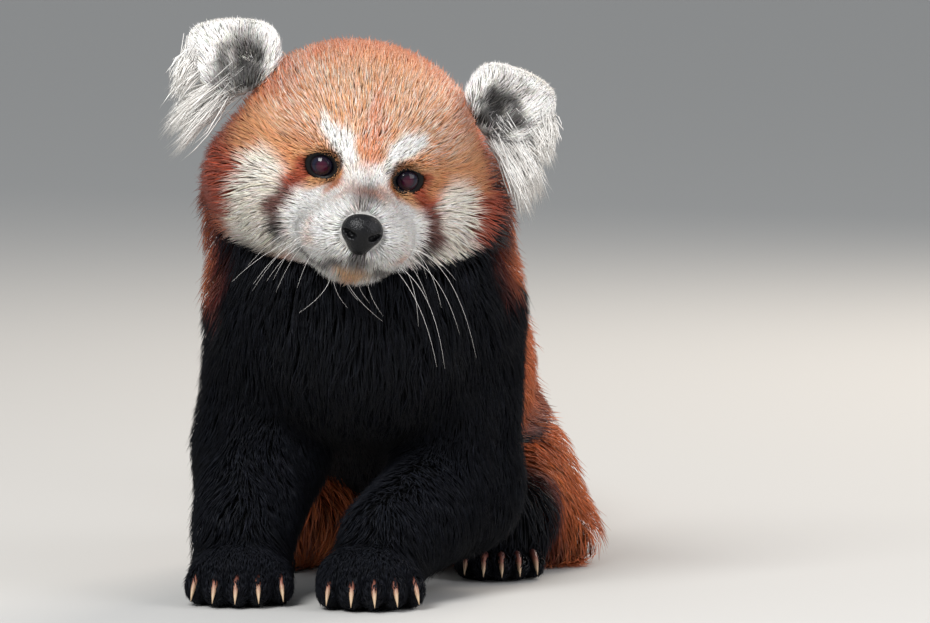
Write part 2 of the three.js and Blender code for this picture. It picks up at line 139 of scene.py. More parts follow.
def turn_of(axis, degrees):
    return np.array(Matrix.Rotation(math.radians(degrees), 3, axis), np.float32)


def placed(form, at, turn):
    at = np.array(at, np.float32)
    return lambda p: form((p - at) @ turn)


def along_trunk(across, back, up):
    """A place given across, back along and above the turned trunk's line on the floor."""
    yaw = math.radians(TRUNK_YAW)
    x = TRUNK_FOOT[0] + across * math.cos(yaw) + back * math.sin(yaw)
    return (x, TRUNK_FOOT[1] - across * math.sin(yaw) + back * math.cos(yaw), TRUNK_FOOT[2] + up)


def pair(x, y, z, radii):
    return [egg((x, y, z), radii), egg((-x, y, z), radii)]


def head_form():
    skull = blend(
        20,
        egg((0, 8, 9), (61, 54, 48)),
        egg((0, -14, 14), (47, 37, 38)),
        *pair(41, 2, -20, (37, 42, 31)),
        *pair(24, -18, -32, (30, 32, 22)),
    )
    muzzle = blend(
        13,
        taper((0, -30, -19), 27, (0, -66, -24), 18.5),
        *pair(12.5, -64, -29, (16.5, 18, 13.5)),
        taper((0, -28, -1), 17, (0, -80, -16), 8.5),
        egg((0, -57, -41), (16, 18, 10.5)),
    )
    brows = blend(6, *pair(19, -40, 13, (15, 10, 9)))
    face = blend(9, blend(18, skull, muzzle), brows)
    return hollow(5, face, blend(2, *pair(22.5, -54.5, 0.5, (10, 9, 8))))


def ear_form(side, radii, at):
    turn = turn_of("Z", 12 * side) @ turn_of("Y", 12 * side)
    cup = egg(at, radii)

    def form(p):
        q = (p - np.array((70 * side, 8, 30), np.float32)) @ turn
        x, y, z = q[:, 0], q[:, 1], q[:, 2]
        up = np.clip(z / 22, -1.2, 1.6)
        out = x / (22.5 * (1 + 0.26 * up))
        z = z / (1 + 0.14 * np.maximum(up, 0) * np.minimum(out**2, 2))
        x = x / (1 + 0.26 * up)
        y = y + 2.8 * np.minimum((x / 22.5) ** 2, 2)
        return cup(np.stack([x, y, z], axis=1))

    return form


def foot_form(palm_at, palm, toe, spacing, splay, knuckle):
    forms = [egg(palm_at, palm)]
    for k in range(-2, 3):
        aim = math.radians(k * splay)
        ahead = (math.sin(aim), -math.cos(aim))
        root = (k * spacing, knuckle + 3.2 * k * k, toe[2])
        at = (root[0] + ahead[0] * toe[1] * 0.6, root[1] + ahead[1] * toe[1] * 0.6, root[2])
        forms.append(placed(egg((0, 0, 0), toe), at, turn_of("Z", k * splay)))
    return blend(2, *forms)


HEAD_FRAME = turn_of("Z", HEAD_TURN[2]) @ turn_of("X", HEAD_TURN[0]) @ turn_of("Y", HEAD_TURN[1])
EAR_LOBE, EAR_CUP = ((22.5, 8, 22), (0, 0, 6)), ((14.5, 7, 14), (0, -7.5, 8))
EARS = [hollow(4, ear_form(s, *EAR_LOBE), ear_form(s, *EAR_CUP)) for s in (-1, 1)]
# Shoulder, elbow and wrist, and the leg's radius at each
FORELEGS = {
    "right": ((-45, 46, 150), (-52, 48, 76), (-61, 0, 33), (38, 35, 28)),
    "left": ((50, 46, 150), (50, 50, 54), (14, -16, 32), (38, 34, 27)),
}
FOREFOOT = {"palm_at": (0, -12, 14), "palm": (27, 29, 19), "toe": (8.4, 14, 10)}
FOREFOOT |= {"spacing": 8.4, "splay": 8, "knuckle": -25}
HINDFOOT = {"palm_at": (0, 2, 11), "palm": (22, 42, 13), "toe": (7.4, 14, 8.2)}
HINDFOOT |= {"spacing": 7.6, "splay": 5, "knuckle": -36}
# Each foot's shape, place, turn in degrees and length of claw
FEET = {
    "forepaw_right": (FOREFOOT, (-61, -6, 0), -3, 17),
    "forepaw_left": (FOREFOOT, (4, -24, 0), 5, 17),
    "hindfoot_right": (HINDFOOT, along_trunk(-70, 158, 0), -26, 15),
    "hindfoot_left": (HINDFOOT, along_trunk(50, 150, 0), 2, 15),
}
TAIL = [(54, 322, 44), (56, 370, 43), (50, 430, 43), (38, 510, 43), (30, 585, 42), (38, 652, 37)]
TAIL = [along_trunk(0, 280, 46)] + TAIL
TAIL_LINE = np.array(TAIL).T
TAIL_RADIUS = (33, 39, 42, 43, 42, 38, 27)
TAIL_RINGS = 12


def trunk_form():
    return blend(
        26,
        egg((-2, 38, 196), (82, 60, 62)),
        taper((0, 34, 190), 62, along_trunk(0, 46, 166), 72),
        taper(along_trunk(0, 40, 150), 72, along_trunk(0, 140, 112), 66),
        taper(along_trunk(0, 140, 112), 66, along_trunk(0, 228, 82), 57),
        taper(along_trunk(0, 200, 58), 55, along_trunk(0, 250, 44), 46),
    )


def foreleg_form(shoulder, elbow, wrist, radii):
    return blend(14, taper(shoulder, radii[0], elbow, radii[1]), taper(elbow, radii[1], wrist, radii[2]))


def thigh_form(side):
    def at(u, v, z):
        return along_trunk(side * u, v, z)

    haunch = taper(at(22, 206, 60), 46, at(52, 202, 6), 48)
    return blend(16, haunch, taper(at(38, 208, 46), 42, at(56, 140, 32), 31))


def tail_form():
    parts = zip(TAIL, TAIL_RADIUS, TAIL[1:], TAIL_RADIUS[1:])
    return blend(10, *[taper(a, ra, b, rb) for a, ra, b, rb in parts])


def in_head(form):
    return placed(form, HEAD_AT, HEAD_FRAME)


# Each form's own box leaves room for the softest blend around it
FORMS = {
    "head": within((-120, -125, 140), (120, 100, 330), in_head(head_form())),
    "ear": within((-130, -50, 200), (130, 80, 330), in_head(blend(1, *EARS))),
    "trunk": within((-130, -80, -9), (150, 360, 310), on_floor(trunk_form())),
    "foreleg_right": within((-130, -60, -9), (20, 120, 220), on_floor(foreleg_form(*FORELEGS["right"]))),
    "foreleg_left": within((-40, -80, -9), (120, 120, 220), on_floor(foreleg_form(*FORELEGS["left"]))),
    "thigh_right": within((-150, 70, -9), (60, 300, 150), on_floor(thigh_form(-1))),
    "thigh_left": within((-20, 60, -9), (180, 300, 150), on_floor(thigh_form(1))),
    "tail": within((-40, 220, -9), (130, 720, 120), on_floor(tail_form())),
}
for name, (foot, at, turned, _) in FEET.items():
    low, high = (at[0] - 60, at[1] - 90, -9), (at[0] + 60, at[1] + 80, 70)
    FORMS[name] = within(low, high, on_floor(placed(foot_form(**foot), at, turn_of("Z", turned)), 2))

# How far the skin lies under the tips of the coat
DEPTHS = {"head": 6, "ear": 1.6, "trunk": 17, "foreleg": 8, "thigh": 14, "tail": 15}
DEPTHS |= {"forepaw": 1.2, "hindfoot": 1.2}
KINDS = [name.split("_")[0] for name in FORMS]
DEPTH_OF = np.array([DEPTHS[kind] for kind in KINDS], np.float32)
BODY = blend(13, *[form for name, form in FORMS.items() if name not in ("head", "ear")])


def whole(p):
    """The whole animal to the tips of its coat, with a soft nape and a sharp fold under the chin."""
    fold = 7 + 27 * step(p[:, 1], 12, 58)
    return melt(melt(FORMS["head"](p), BODY(p), fold), FORMS["ear"](p), 8)


def to_head(p):
    return (p - HEAD_AT) @ HEAD_FRAME


def step(value, low, high):
    """Rises smoothly from 0 at low to 1 at high, or falls where low is the higher."""
    t = np.clip((value - low) / (high - low), 0, 1)
    return t * t * (3 - 2 * t)


def folded(q):
    """The head's right half laid over its left, so that one place serves both sides."""
    return np.column_stack([np.abs(q[:, 0]), q[:, 1:]])


def form_values(p):
    return np.stack([f(p) for f in FORMS.values()])


def nearest(p):
    """The number of the form that each place belongs to."""
    return form_values(p).argmin(axis=0)


def on(which, *kinds):
    """Whether each place belongs to a form of one of these kinds."""
    return np.array([kind in kinds for kind in KINDS])[which]


def skin_depth(p):
    """How far under the tips the skin lies: little on the face and feet, most on the trunk and tail."""
    d = form_values(p)
    w = np.exp(-np.clip(d - d.min(axis=0), 0, 60) / 6)
    depth = np.repeat(DEPTH_OF[:, None], len(p), axis=1)
    depth[KINDS.index("head")] = 1.8 + 8 * step(to_head(p)[:, 1], -62, 20)
    return (w * depth).sum(axis=0) / w.sum(axis=0)


def skin_form(p):
    d = whole(p)
    near = np.abs(d) < FAR / 2
    # Away from the skin, any middling depth keeps the sign
    out = d + 12
    out[near] = d[near] + skin_depth(p[near])
    return out


def gradient(form, p, e=0.5):
    total = np.zeros_like(p)
    for k in np.array(((1, -1, -1), (-1, -1, 1), (-1, 1, -1), (1, 1, 1)), np.float32):
        total += form(p + e * k)[:, None] * k
    return unit(total)


def surface(form, xs, ys, zs):
    """A closed mesh where the form is zero: a point in each cell it crosses, joined over the cut edges."""
    axes = [np.asarray(a, np.float32) for a in (xs, ys, zs)]
    grid = np.stack(np.meshgrid(*axes, indexing="ij"), axis=-1)
    value = form(grid.reshape(-1, 3)).reshape(grid.shape[:3])
    inside = value < 0
    corners = [np.array(c) for c in np.ndindex(2, 2, 2)]
    parts = [inside[tuple(slice(c[i], inside.shape[i] - 1 + c[i]) for i in range(3))] for c in corners]
    some, every = parts[0].copy(), parts[0].copy()
    for part in parts[1:]:
        some |= part
        every &= part
    cells = np.argwhere(some & ~every)
    number = np.full(some.shape, -1, np.int64)
    number[tuple(cells.T)] = np.arange(len(cells))
    total, count = np.zeros((len(cells), 3)), np.zeros(len(cells))
    for start in corners:
        for axis in np.flatnonzero(start == 0):
            a, b = cells + start, cells + start
            b[:, axis] += 1
            va, vb = value[tuple(a.T)], value[tuple(b.T)]
            cut = (va < 0) != (vb < 0)
            t = (va[cut] / (va[cut] - vb[cut]))[:, None]
            total[cut] += grid[tuple(a[cut].T)] * (1 - t) + grid[tuple(b[cut].T)] * t
            count[cut] += 1
    points = (total / count[:, None]).astype(np.float32)
    faces = []
    for axis in range(3):
        b, c = np.eye(3, dtype=int)[(axis + 1) % 3], np.eye(3, dtype=int)[(axis + 2) % 3]
        low = tuple(slice(0, -1) if i == axis else slice(1, -1) for i in range(3))
        high = tuple(slice(1, None) if i == axis else slice(1, -1) for i in range(3))
        edges = np.argwhere(inside[low] != inside[high])
        out = inside[low][tuple(edges.T)]
        edges += b + c
        quad = np.stack([number[tuple((edges - o).T)] for o in (b + c, c, 0 * b, b)], axis=1)
        faces.append(np.where(out[:, None], quad, quad[:, ::-1]))
    for _ in range(2):
        points -= form(points)[:, None] * gradient(form, points)
    return points, np.concatenate(faces)


def ripple(p, size, seed):
    """A few long waves, for the edges of markings and the lie of the coat."""
    draw = np.random.default_rng(seed)
    total = np.zeros(len(p), np.float32)
    for _ in range(5):
        way = draw.normal(size=3).astype(np.float32)
        way *= 6.28 / size / np.linalg.norm(way) * draw.uniform(0.6, 1.6)
        total += np.sin(p @ way + draw.uniform(0, 6.28))
    return total / 2.2


def linear(code):
    """An sRGB hex value as a linear colour."""
    values = [int(code[i : i + 2], 16) / 255 for i in (1, 3, 5)]
    return tuple(c / 12.92 if c <= 0.04045 else ((c + 0.055) / 1.055) ** 2.4 for c in values)


def spot(q, centre, radii, soft=0.25):
    """A painted egg-shaped spot: how much of it lies at each place."""
    d = length((q - np.array(centre, np.float32)) / np.array(radii, np.float32))
    return 1 - step(d, 1 - soft, 1 + soft)


def stroke(q, points, wide, soft=2.5):
    """A painted line: how much of it lies at each place, and how far along."""
    best = np.full(len(q), 1e3, np.float32)
    along = np.zeros(len(q), np.float32)
    wides = np.linspace(0, 1, len(points))
    for i, (a, b) in enumerate(zip(points, points[1:])):
        a, b = np.array(a, np.float32), np.array(b, np.float32)
        t = np.clip((q - a) @ (b - a) / float((b - a) @ (b - a)), 0, 1)
        wide_here = np.interp(wides[i] + t * (wides[i + 1] - wides[i]), wides, wide)
        d = length(q - a - t[:, None] * (b - a)) - wide_here
        nearer = d < best
        best[nearer], along[nearer] = d[nearer], ((i + t) / (len(points) - 1))[nearer]
    return 1 - step(best, -soft, soft), along


def tail_place(p):
    """How far along the tail a place is, from 0 to 1."""
    run = np.concatenate([[0], np.cumsum([math.dist(a, b) for a, b in zip(TAIL, TAIL[1:])])])
    return np.interp(p[:, 1], TAIL_LINE[1], run / run[-1])


# Painted lines of the left half of the face, in the head's own frame
BROW = ((25, -48, 23), (15, -53, 16), (9.5, -56, 6))
TEAR = ((30, -45, 0), (34.5, -46, -13), (41, -47, -25), (38, -49, -38))
MOUTH = ((27, -50, -41), (21, -62, -42), (11, -76, -40), (0, -80, -36))


def paint(colour, mask, shade):
    m = np.clip(mask, 0, 1)[:, None]
    colour[:] = colour * (1 - m) + np.asarray(shade, np.float32) * m


def body_colour(p, which, wobble, tone):
    """Fox red above and behind, black below and in front, and rings along the tail."""
    colour = np.tile(tone["fox"], (len(p), 1))
    paint(colour, 0.1 + 0.2 * ripple(p, 30, 8), tone["rust"])
    # The black reaches up the front and along the belly, with a maroon edge
    front = 14 + 0.55 * np.clip(176 - p[:, 2], 0, 70) - p[:, 1] + 3 * wobble[:, 0]
    inner = 42 - np.abs(p[:, 0] + 8 - 0.2 * p[:, 1]) + 0.5 * (100 - p[:, 2])
    belly = np.where(p[:, 1] < 190, np.minimum(inner, 110 - p[:, 2]), -50)
    under = np.maximum(24 - p[:, 2] + 5 * wobble[:, 0], belly)
    shank = 128 - p[:, 1] + 0.2 * p[:, 0] - 0.4 * p[:, 2] + 5 * wobble[:, 1]
    dark = np.where(on(which, "trunk"), np.maximum(front, under), shank)
    trunk = on(which, "trunk", "thigh")
    paint(colour, trunk * step(dark, -26, -4), tone["maroon"])
    paint(colour, trunk * step(dark, -7, 7), tone["black"])
    paint(colour, on(which, "foreleg", "forepaw", "hindfoot"), tone["black"])
    # A dark ring and a pale one by turns, to a dark tip
    tail = on(which, "tail")
    turn = tail_place(p + 2.5 * wobble) * TAIL_RINGS + 0.15
    paint(colour, tail, tone["rust"] * 0.8 + tone["maroon"] * 0.2)
    paint(colour, tail * step(np.abs(turn % 1 - 0.5), 0.2, 0.3), tone["buff"])
    paint(colour, tail * step(turn, TAIL_RINGS - 0.8, TAIL_RINGS - 0.4), tone["tip"])
    return colour


def face_colour(q, tone):
    """The mask, in the head's own frame, each marking over the ones before it."""
    colour = np.tile(tone["fox"], (len(q), 1))
    m = folded(q)
    side = m[:, 0]
    paint(colour, 0.75 * spot(m, (0, -46, 32), (46, 40, 34), 0.5), tone["sand"])
    paint(colour, step(side, 50, 66) * step(q[:, 2], 26, 6) * step(q[:, 2], -80, -40), tone["rust"])
    paint(colour, 0.8 * step(side, 36, 62) * step(q[:, 2], 22, 42), tone["fox"])
    paint(colour, 0.7 * spot(m, (54, -28, 8), (20, 30, 16), 0.4), tone["sand"])
    paint(colour, spot(m, (50, -40, -22), (15, 30, 24), 0.28), tone["cream"])
    paint(colour, spot(m, (48, -40, -44), (18, 30, 13), 0.3), tone["cream"])
    paint(colour, spot(m, (24, -46, 0), (14, 14, 11), 0.3), tone["sand"])
    # The tear track runs from red through maroon to black
    tear, down = stroke(m, TEAR, (4.5, 6, 6.5, 7))
    redder, blacker = step(down, 0.1, 0.5)[:, None], step(down, 0.6, 0.95)[:, None]
    shade = tone["rust"] * (1 - redder) + tone["maroon"] * redder
    paint(colour, 0.95 * tear, shade * (1 - blacker) + tone["black"] * blacker)
    # Muzzle and brows
    paint(colour, spot(m, (0, -72, -24), (28, 30, 21), 0.2), tone["white"])
    paint(colour, spot(m, (0, -60, -3), (11, 14, 11), 0.3), tone["white"])
    paint(colour, spot(m, (20, -56, -26), (17, 20, 17), 0.25), tone["white"])
    paint(colour, spot(m, (16, -62, -44), (24, 26, 10), 0.25), tone["white"])
    paint(colour, stroke(m, BROW, (3.5, 6, 4))[0], tone["white"])
    paint(colour, 0.75 * spot(q, (0, -50, 24), (5.5, 20, 22), 0.5), tone["fox"])
    # Smudges by the eyes, over the nose and along the lips, and the chin
    paint(colour, 0.8 * spot(m, (12.5, -52, 3), (3, 6, 3.4), 0.5), tone["grey"])
    paint(colour, 0.75 * spot(q, (0, -80, -6), (8, 14, 7), 0.6), tone["grey"])
    paint(colour, 0.85 * stroke(m, MOUTH, (2.4, 3.4, 4.4, 5.2), 1.5)[0], tone["grey"])
    paint(colour, 0.85 * spot(q, (0, -78, -46), (9, 9, 5), 0.5), tone["buff"])
    throat = step(q[:, 2], -44, -54) * step(side, 64, 50)
    paint(colour, throat * step(q[:, 1], -62, -48) * step(q[:, 1], 26, 8), tone["black"])
    paint(colour, step(q[:, 1], 18, 40) * step(q[:, 2], 30, -6) * step(q[:, 1], 10, 30), tone["fox"])
    return colour


def ear_colour(q, wobble, tone):
    """White, creamy behind, with a dark patch deep in the cup."""
    m = folded(q)
    colour = np.tile(tone["white"], (len(q), 1))
    paint(colour, 0.75 * step(q[:, 1], 8, 14) * step(length(m - (72, 8, 34)), 30, 20), tone["cream"])
    paint(colour, 0.92 * spot(m + 2.5 * wobble, (70, 0, 35), (14, 14, 18), 0.35), tone["ink"])
    return colour


def markings(p, look):
    """The coat's colour at each place, for the skin and the tufts alike."""
    tone = {key: np.array(getattr(look, key)[:], np.float32) for key in TONES}
    which = nearest(p)
    wobble = np.stack([ripple(p, 14, seed) for seed in (1, 2, 3)], axis=1)
    q = to_head(p) + 1.2 * wobble
    colour = body_colour(p, which, wobble, tone)
    head, ear = on(which, "head"), on(which, "ear")
    colour[head] = face_colour(q[head], tone)
    colour[ear] = ear_colour(q[ear], wobble[ear], tone)
    return np.clip(colour, 0, 1)


def from_eye(q):
    """From the middle of the nearer eye's opening to each place, counted outwards on both sides."""
    return folded(q) - np.array(EYE_OPENING, np.float32)


def head_lie(q):
    """Away from the nose and the eyes, down over the cheeks, and down the nape."""
    back = unit(q - np.array((0, -104, -18), np.float32))
    side = np.abs(q[:, 0])
    back[:, 2] += np.where(q[:, 2] > 8, 0.3, 0) * step(q[:, 1], -60, -30)
    back[:, 2] -= 0.9 * step(q[:, 2], -34, -44) * step(q[:, 1], -30, -50)
    back[:, 2] -= 0.55 * step(side, 26, 52) * step(q[:, 2], 4, -26)
    back[:, 0] += 0.25 * np.sign(q[:, 0]) * step(side, 10, 40)
    back[:, 2] -= 1.6 * step(q[:, 1], 4, 44)
    away = from_eye(q)
    away[:, 0] *= np.sign(q[:, 0])
    return back + unit(away) * 2.2 * (1 - step(length(away), 9, 19))[:, None]


def lie(p, which):
    """Which way the coat lies at each place, before it is laid along the surface."""
    q = to_head(p)
    flow = np.tile(np.array((0, -0.22, -1), np.float32), (len(p), 1))
    head, ear, trunk, tail = (on(which, kind) for kind in ("head", "ear", "trunk", "tail"))
    flow[head] = (head_lie(q) @ HEAD_FRAME.T)[head]
    ear_foot = np.stack([np.sign(q[:, 0]) * 60, np.full(len(q), 8), np.full(len(q), 12)], axis=1)
    flow[ear] = (unit(q - ear_foot) @ HEAD_FRAME.T)[ear]
    t = step(p[:, 1], -20, 90)[:, None]
    chest, rear = np.array((0, 0.1, -1), np.float32), np.array((0.16, 0.72, -0.68), np.float32)
    flow[trunk] = (chest * (1 - t) + rear * t)[trunk]
    xs, ys, zs = TAIL_LINE
    rise = [np.interp(p[:, 1] + 12, ys, a) - np.interp(p[:, 1] - 12, ys, a) for a in (xs, zs)]
    flow[tail] = unit(np.stack([rise[0], np.full(len(p), 24.0), rise[1]], axis=1))[tail]
    flow[on(which, "forepaw", "hindfoot")] = (0, -0.75, -0.8)
    bend = np.stack([ripple(p, 26, seed) for seed in (11, 12, 13)], axis=1)
    return unit(flow + 0.16 * bend)


# Each kind of tuft's length, width and how far its tip stands off
TUFT_SIZES = {
    "head": (10, 0.9, 0.5),
    "ear": (9.5, 0.45, 0.8),
    "trunk": (34, 1.2, 0.7),
    "foreleg": (19, 0.85, 0.6),
    "thigh": (26, 1.15, 0.8),
    "tail": (34, 1.45, 1.5),
    "forepaw": (10.5, 0.75, 0.9),
    "hindfoot": (9, 1.0, 0.5),
}


def coat_size(p, which):
    """Each tuft's length, width and lift: finer on the chest, and on the head by its place."""
    q = to_head(p)
    table = np.array([TUFT_SIZES[kind] for kind in KINDS], np.float32)[which]
    trunk, head = on(which, "trunk"), on(which, "head")
    behind = step(p[:, 1], 30, 120)
    table[trunk, 0] = (27 + 7 * behind)[trunk]
    table[trunk, 1] = (0.9 + 0.25 * behind)[trunk]
    side = np.abs(q[:, 0])
    long = 6.2 + 5 * step(q[:, 1], -66, -36) + 9 * step(q[:, 1], -34, 10)
    long += 11 * step(side, 44, 66) * step(q[:, 2], 10, -20)
    long += 6 * step(side, 30, 48) * step(q[:, 2], 16, 30)
    long += 6 * step(q[:, 2], -36, -46) * step(q[:, 1], -30, -55)
    long += 7 * step(q[:, 2], -28, -46) * step(side, 26, 40)
    long *= 0.5 + 0.5 * step(length(from_eye(q)), 9, 20)
    table[head, 0] = long[head]
    table[head, 1] = (0.36 + 0.024 * long)[head]
    table[head, 2] = (0.5 + 0.07 * long + 2 * step(q[:, 2], -30, -46))[head]
    return table


# A tuft's width at each of its stations from the root, as a share of its widest
LONG_TUFT = (0.55, 1.0, 0.7)
SHORT_TUFT = (0.75, 1.0)
PLUME_TUFT = (0.6, 1, 0.9, 0.6)


def along_tuft(stations):
    """How far each point of a tuft is from its root, from 0 to 1."""
    return np.append(np.repeat(np.arange(stations), 3), stations) / stations


def tuft_faces(stations):
    """The faces of one tuft: three-sided, closed at its root, and ending in a point."""
    faces = [(2, 1, 0)]
    for a in range(3 * stations - 3):
        b = a + 1 if a % 3 < 2 else a - 2
        faces += [(a, b, b + 3), (a, b + 3, a + 3)]
    top = 3 * stations
    return np.array(faces + [(top - 3, top - 2, top), (top - 2, top - 1, top), (top - 1, top - 3, top)])


def tufts(roots, which, share, draw):
    """Tufts that follow the lie of the coat from the skin up to the tips' level: their points and lines."""
    stations = len(share)
    sizes = coat_size(roots, which)
    long, wide, lift = sizes.T * draw.uniform(0.75, 1.25, (3, len(roots))).astype(np.float32)
    flyaway = draw.random(len(roots)) < 0.06
    lift = lift + flyaway * 0.1 * long
    depth = -whole(roots)
    p = roots.astype(np.float32)
    jitter = draw.normal(0, 0.13, (len(p), 3)).astype(np.float32)
    line, points = [], []
    for i in range(stations + 1):
        s = i / stations
        face = gradient(whole, p)
        level = -depth * (1 - s) ** 1.6 - (1.2 if i == 0 else 0) + lift * s * s
        p = p + face * (level - whole(p))[:, None]
        way = lie(p, which) + jitter
        way = unit(way - np.einsum("ij,ij->i", way, face)[:, None] * face)
        line.append(p)
        if i < stations:
            half = (wide * share[i] / 2)[:, None]
            across = np.cross(way, face) * half
            points += [p - across, p + across, p + face * half * 0.7]
        else:
            points.append(p)
        p = p + way * (long / stations)[:, None]
        p[:, 2] = np.maximum(p[:, 2], 0.4)
    block = np.stack(points, axis=1)
    block[:, :, 2] = np.maximum(block[:, :, 2], 0.05)
    return block, np.stack(line, axis=1)


TONES = {
    "fox": ("#cf6f3c", "Forehead, nape and back"),
    "rust": ("#a8452a", "Outer cheeks and the tail's dark rings"),
    "maroon": ("#5e2019", "Tear tracks and the edge of the black"),
    "black": ("#0a0c13", "Throat, belly and legs"),
    "sand": ("#e0a673", "Grizzled forehead and the rims of the eyes"),
    "buff": ("#dba46c", "The tail's pale rings and the chin"),
    "cream": ("#f9efe2", "Cheeks"),
    "white": ("#fbf8f3", "Muzzle, brows and ears"),
    "grey": ("#4b4648", "Smudges over the nose and along the lips"),
    "tip": ("#24130f", "The tail's tip"),
    "ink": ("#1d1b1d", "The dark patch in each ear"),
    "frost": ("#8790a6", "The few pale hairs in the black"),
}


def colour_property(code, name, description):
    return FloatVectorProperty(
        name=name, description=description, default=linear(code), subtype="COLOR", min=0, max=1
    )


class CoatTones(bpy.types.PropertyGroup):
    __annotations__ = {key: colour_property(code, key.title(), use) for key, (code, use) in TONES.items()}


class CoatSizes(bpy.types.PropertyGroup):
    cover: FloatProperty(
        name="Cover", description="How many tufts lie over each place", default=7.9, min=1, max=12
    )
    # How dark the painted shade makes each tuft at its root, deep in the coat
    painted_root_shade: FloatProperty(
        name="Root shade", description="How dark a tuft is at its root", default=0.46, subtype="FACTOR"
    )
    whisker: FloatProperty(
        name="Whisker", description="Length of the longest whisker", default=0.056, unit="LENGTH"
    )


class StageLook(bpy.types.PropertyGroup):
    floor: colour_property("#b4b3b0", "Floor", "The plain pale floor")
    far: FloatProperty(
        name="Camera distance", description="From the camera to the animal", default=4.0, unit="LENGTH"
    )


def from_head(points):
    return np.asarray(points) @ HEAD_FRAME.T + HEAD_AT


def frame_shift():
    """From the forms' own frame to the part's, found from where its left eye is."""
    low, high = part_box("eye_left")
    shift = np.array((low + high) / 2) / MM - from_head(EYE_AT)
    return shift * (1, 1, 0)


SHIFT = frame_shift()


def mesh_piece(name, points, faces, finish, slot, nodes):
    """A smooth mesh in the scene, riding on the root in place of the nodes that it stands for."""
    mesh = bpy.data.meshes.new(name)
    mesh.vertices.add(len(points))
    mesh.vertices.foreach_set("co", ((points + SHIFT) * MM).astype(np.float32).ravel())
    mesh.loops.add(faces.size)
    mesh.loops.foreach_set("vertex_index", faces.astype(np.int32).ravel())
    mesh.polygons.add(len(faces))
    mesh.polygons.foreach_set("loop_start", np.arange(0, faces.size, faces.shape[1], dtype=np.int32))
    mesh.polygons.foreach_set("use_smooth", np.ones(len(faces), bool))
    mesh.update(calc_edges=True)
    mesh.materials.append(finish)
    piece = bpy.data.objects.new(name, mesh)
    bpy.context.scene.collection.objects.link(piece)
    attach(piece, "root")
    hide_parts(*nodes)
    return piece


def paint_points(piece, name, colours):
    layers = piece.data.color_attributes
    layer = layers.get(name) or layers.new(name, "FLOAT_COLOR", "POINT")
    layer.data.foreach_set("color", np.clip(colours, 0, 1).astype(np.float32).ravel())


def mark_points(piece, name, values):
    layer = piece.data.attributes.new(name, "FLOAT", "POINT")
    layer.data.foreach_set("value", values.astype(np.float32))


def wire(made, sockets):
    """Sets a node's sockets, each to a value or to what another node puts out."""
    for socket, source in sockets.items():
        if hasattr(source, "is_linked"):
            made.id_data.links.new(source, made.inputs[socket])
        else:
            made.inputs[socket].default_value = source


def node(tree, kind, sockets, **settings):
    """Adds one node, with its settings and the sockets that feed it."""
    made = tree.nodes.new(kind)
    for key, value in settings.items():
        setattr(made, key, value)
    wire(made, sockets)
    return made


def material(name, sockets):
    made = bpy.data.materials.new(name)
    made.use_nodes = True
    tree = made.node_tree
    shader = tree.nodes["Principled BSDF"]
    wire(shader, sockets)
    return made, tree, shader


def set_stops(ramp, *stops):
    """Gives a colour ramp its stops, each a place from 0 to 1 and an sRGB hex value."""
    bands = ramp.color_ramp.elements
    while len(bands) < len(stops):
        bands.new(0.5)
    for band, (at, code) in zip(bands, stops):
        band.position = at
        band.color = (*linear(code), 1)


def repeats(mm):
    """How many times a pattern of this real size goes into a metre, which is its scale in a material."""
    return 1 / (mm * MM)


def hair_material():
    """Smooth guard hair, as it grew: a soft silky gloss, and painted shade that darkens it down at the root.
    """
    gloss = {"Roughness": 0.55, "Specular IOR Level": 0.12, "Sheen Weight": 0.02, "Sheen Roughness": 0.4}
    made, tree, shader = material("Guard hair", gloss)
    place = node(tree, "ShaderNodeTexCoord", {}).outputs["Object"]
    tint = node(tree, "ShaderNodeAttribute", {}, attribute_name="Markings")
    # A hair is 0.05 mm thick, too fine to show, so the coat's streaks are drawn 2.4 mm long
    streak = node(tree, "ShaderNodeTexNoise", {"Vector": place, "Scale": repeats(2.38), "Detail": 2.0})
    root = bpy.context.scene.panda_sizes.painted_root_shade
    # Painted shade: each tuft is darkest at its root, deep in the coat, and lightens towards its tip
    deep = node(tree, "ShaderNodeMapRange", {"Value": tint.outputs["Alpha"], "To Min": root, "To Max": 1.08})
    fine = node(tree, "ShaderNodeMapRange", {"Value": streak.outputs["Fac"], "To Min": 0.82, "To Max": 1.18})
    both = node(tree, "ShaderNodeMath", {0: deep.outputs[0], 1: fine.outputs[0]}, operation="MULTIPLY")
    shades = {0: tint.outputs["Color"], "Scale": both.outputs[0]}
    mixed = node(tree, "ShaderNodeVectorMath", shades, operation="SCALE")
    wire(shader, {"Base Color": mixed.outputs[0]})
    return made


def wool_material():
    """Woolly undercoat, grown close over the skin: matt, and darker than the hair above it with painted
    shade from the coat over it.
    """
    made, tree, shader = material("Undercoat", {"Roughness": 0.85, "Specular IOR Level": 0.2})
    place = node(tree, "ShaderNodeTexCoord", {}).outputs["Object"]
    tint = node(tree, "ShaderNodeAttribute", {}, attribute_name="Markings")
    # Its wool is 0.02 mm thick, too fine to show, so its curls are drawn 1.4 mm across
    wool = node(tree, "ShaderNodeTexNoise", {"Vector": place, "Scale": repeats(1.43), "Detail": 4.0})
    curl = wool.outputs["Fac"]
    # Painted shade under the coat, mottled by the wool's curls
    deep = node(tree, "ShaderNodeMapRange", {"Value": curl, "To Min": 0.3, "To Max": 0.75})
    shades = {0: tint.outputs["Color"], "Scale": deep.outputs[0]}
    mixed = node(tree, "ShaderNodeVectorMath", shades, operation="SCALE")
    bump = node(tree, "ShaderNodeBump", {"Height": curl, "Strength": 0.6, "Distance": 0.001})
    wire(shader, {"Base Color": mixed.outputs[0], "Normal": bump.outputs[0]})
    return made


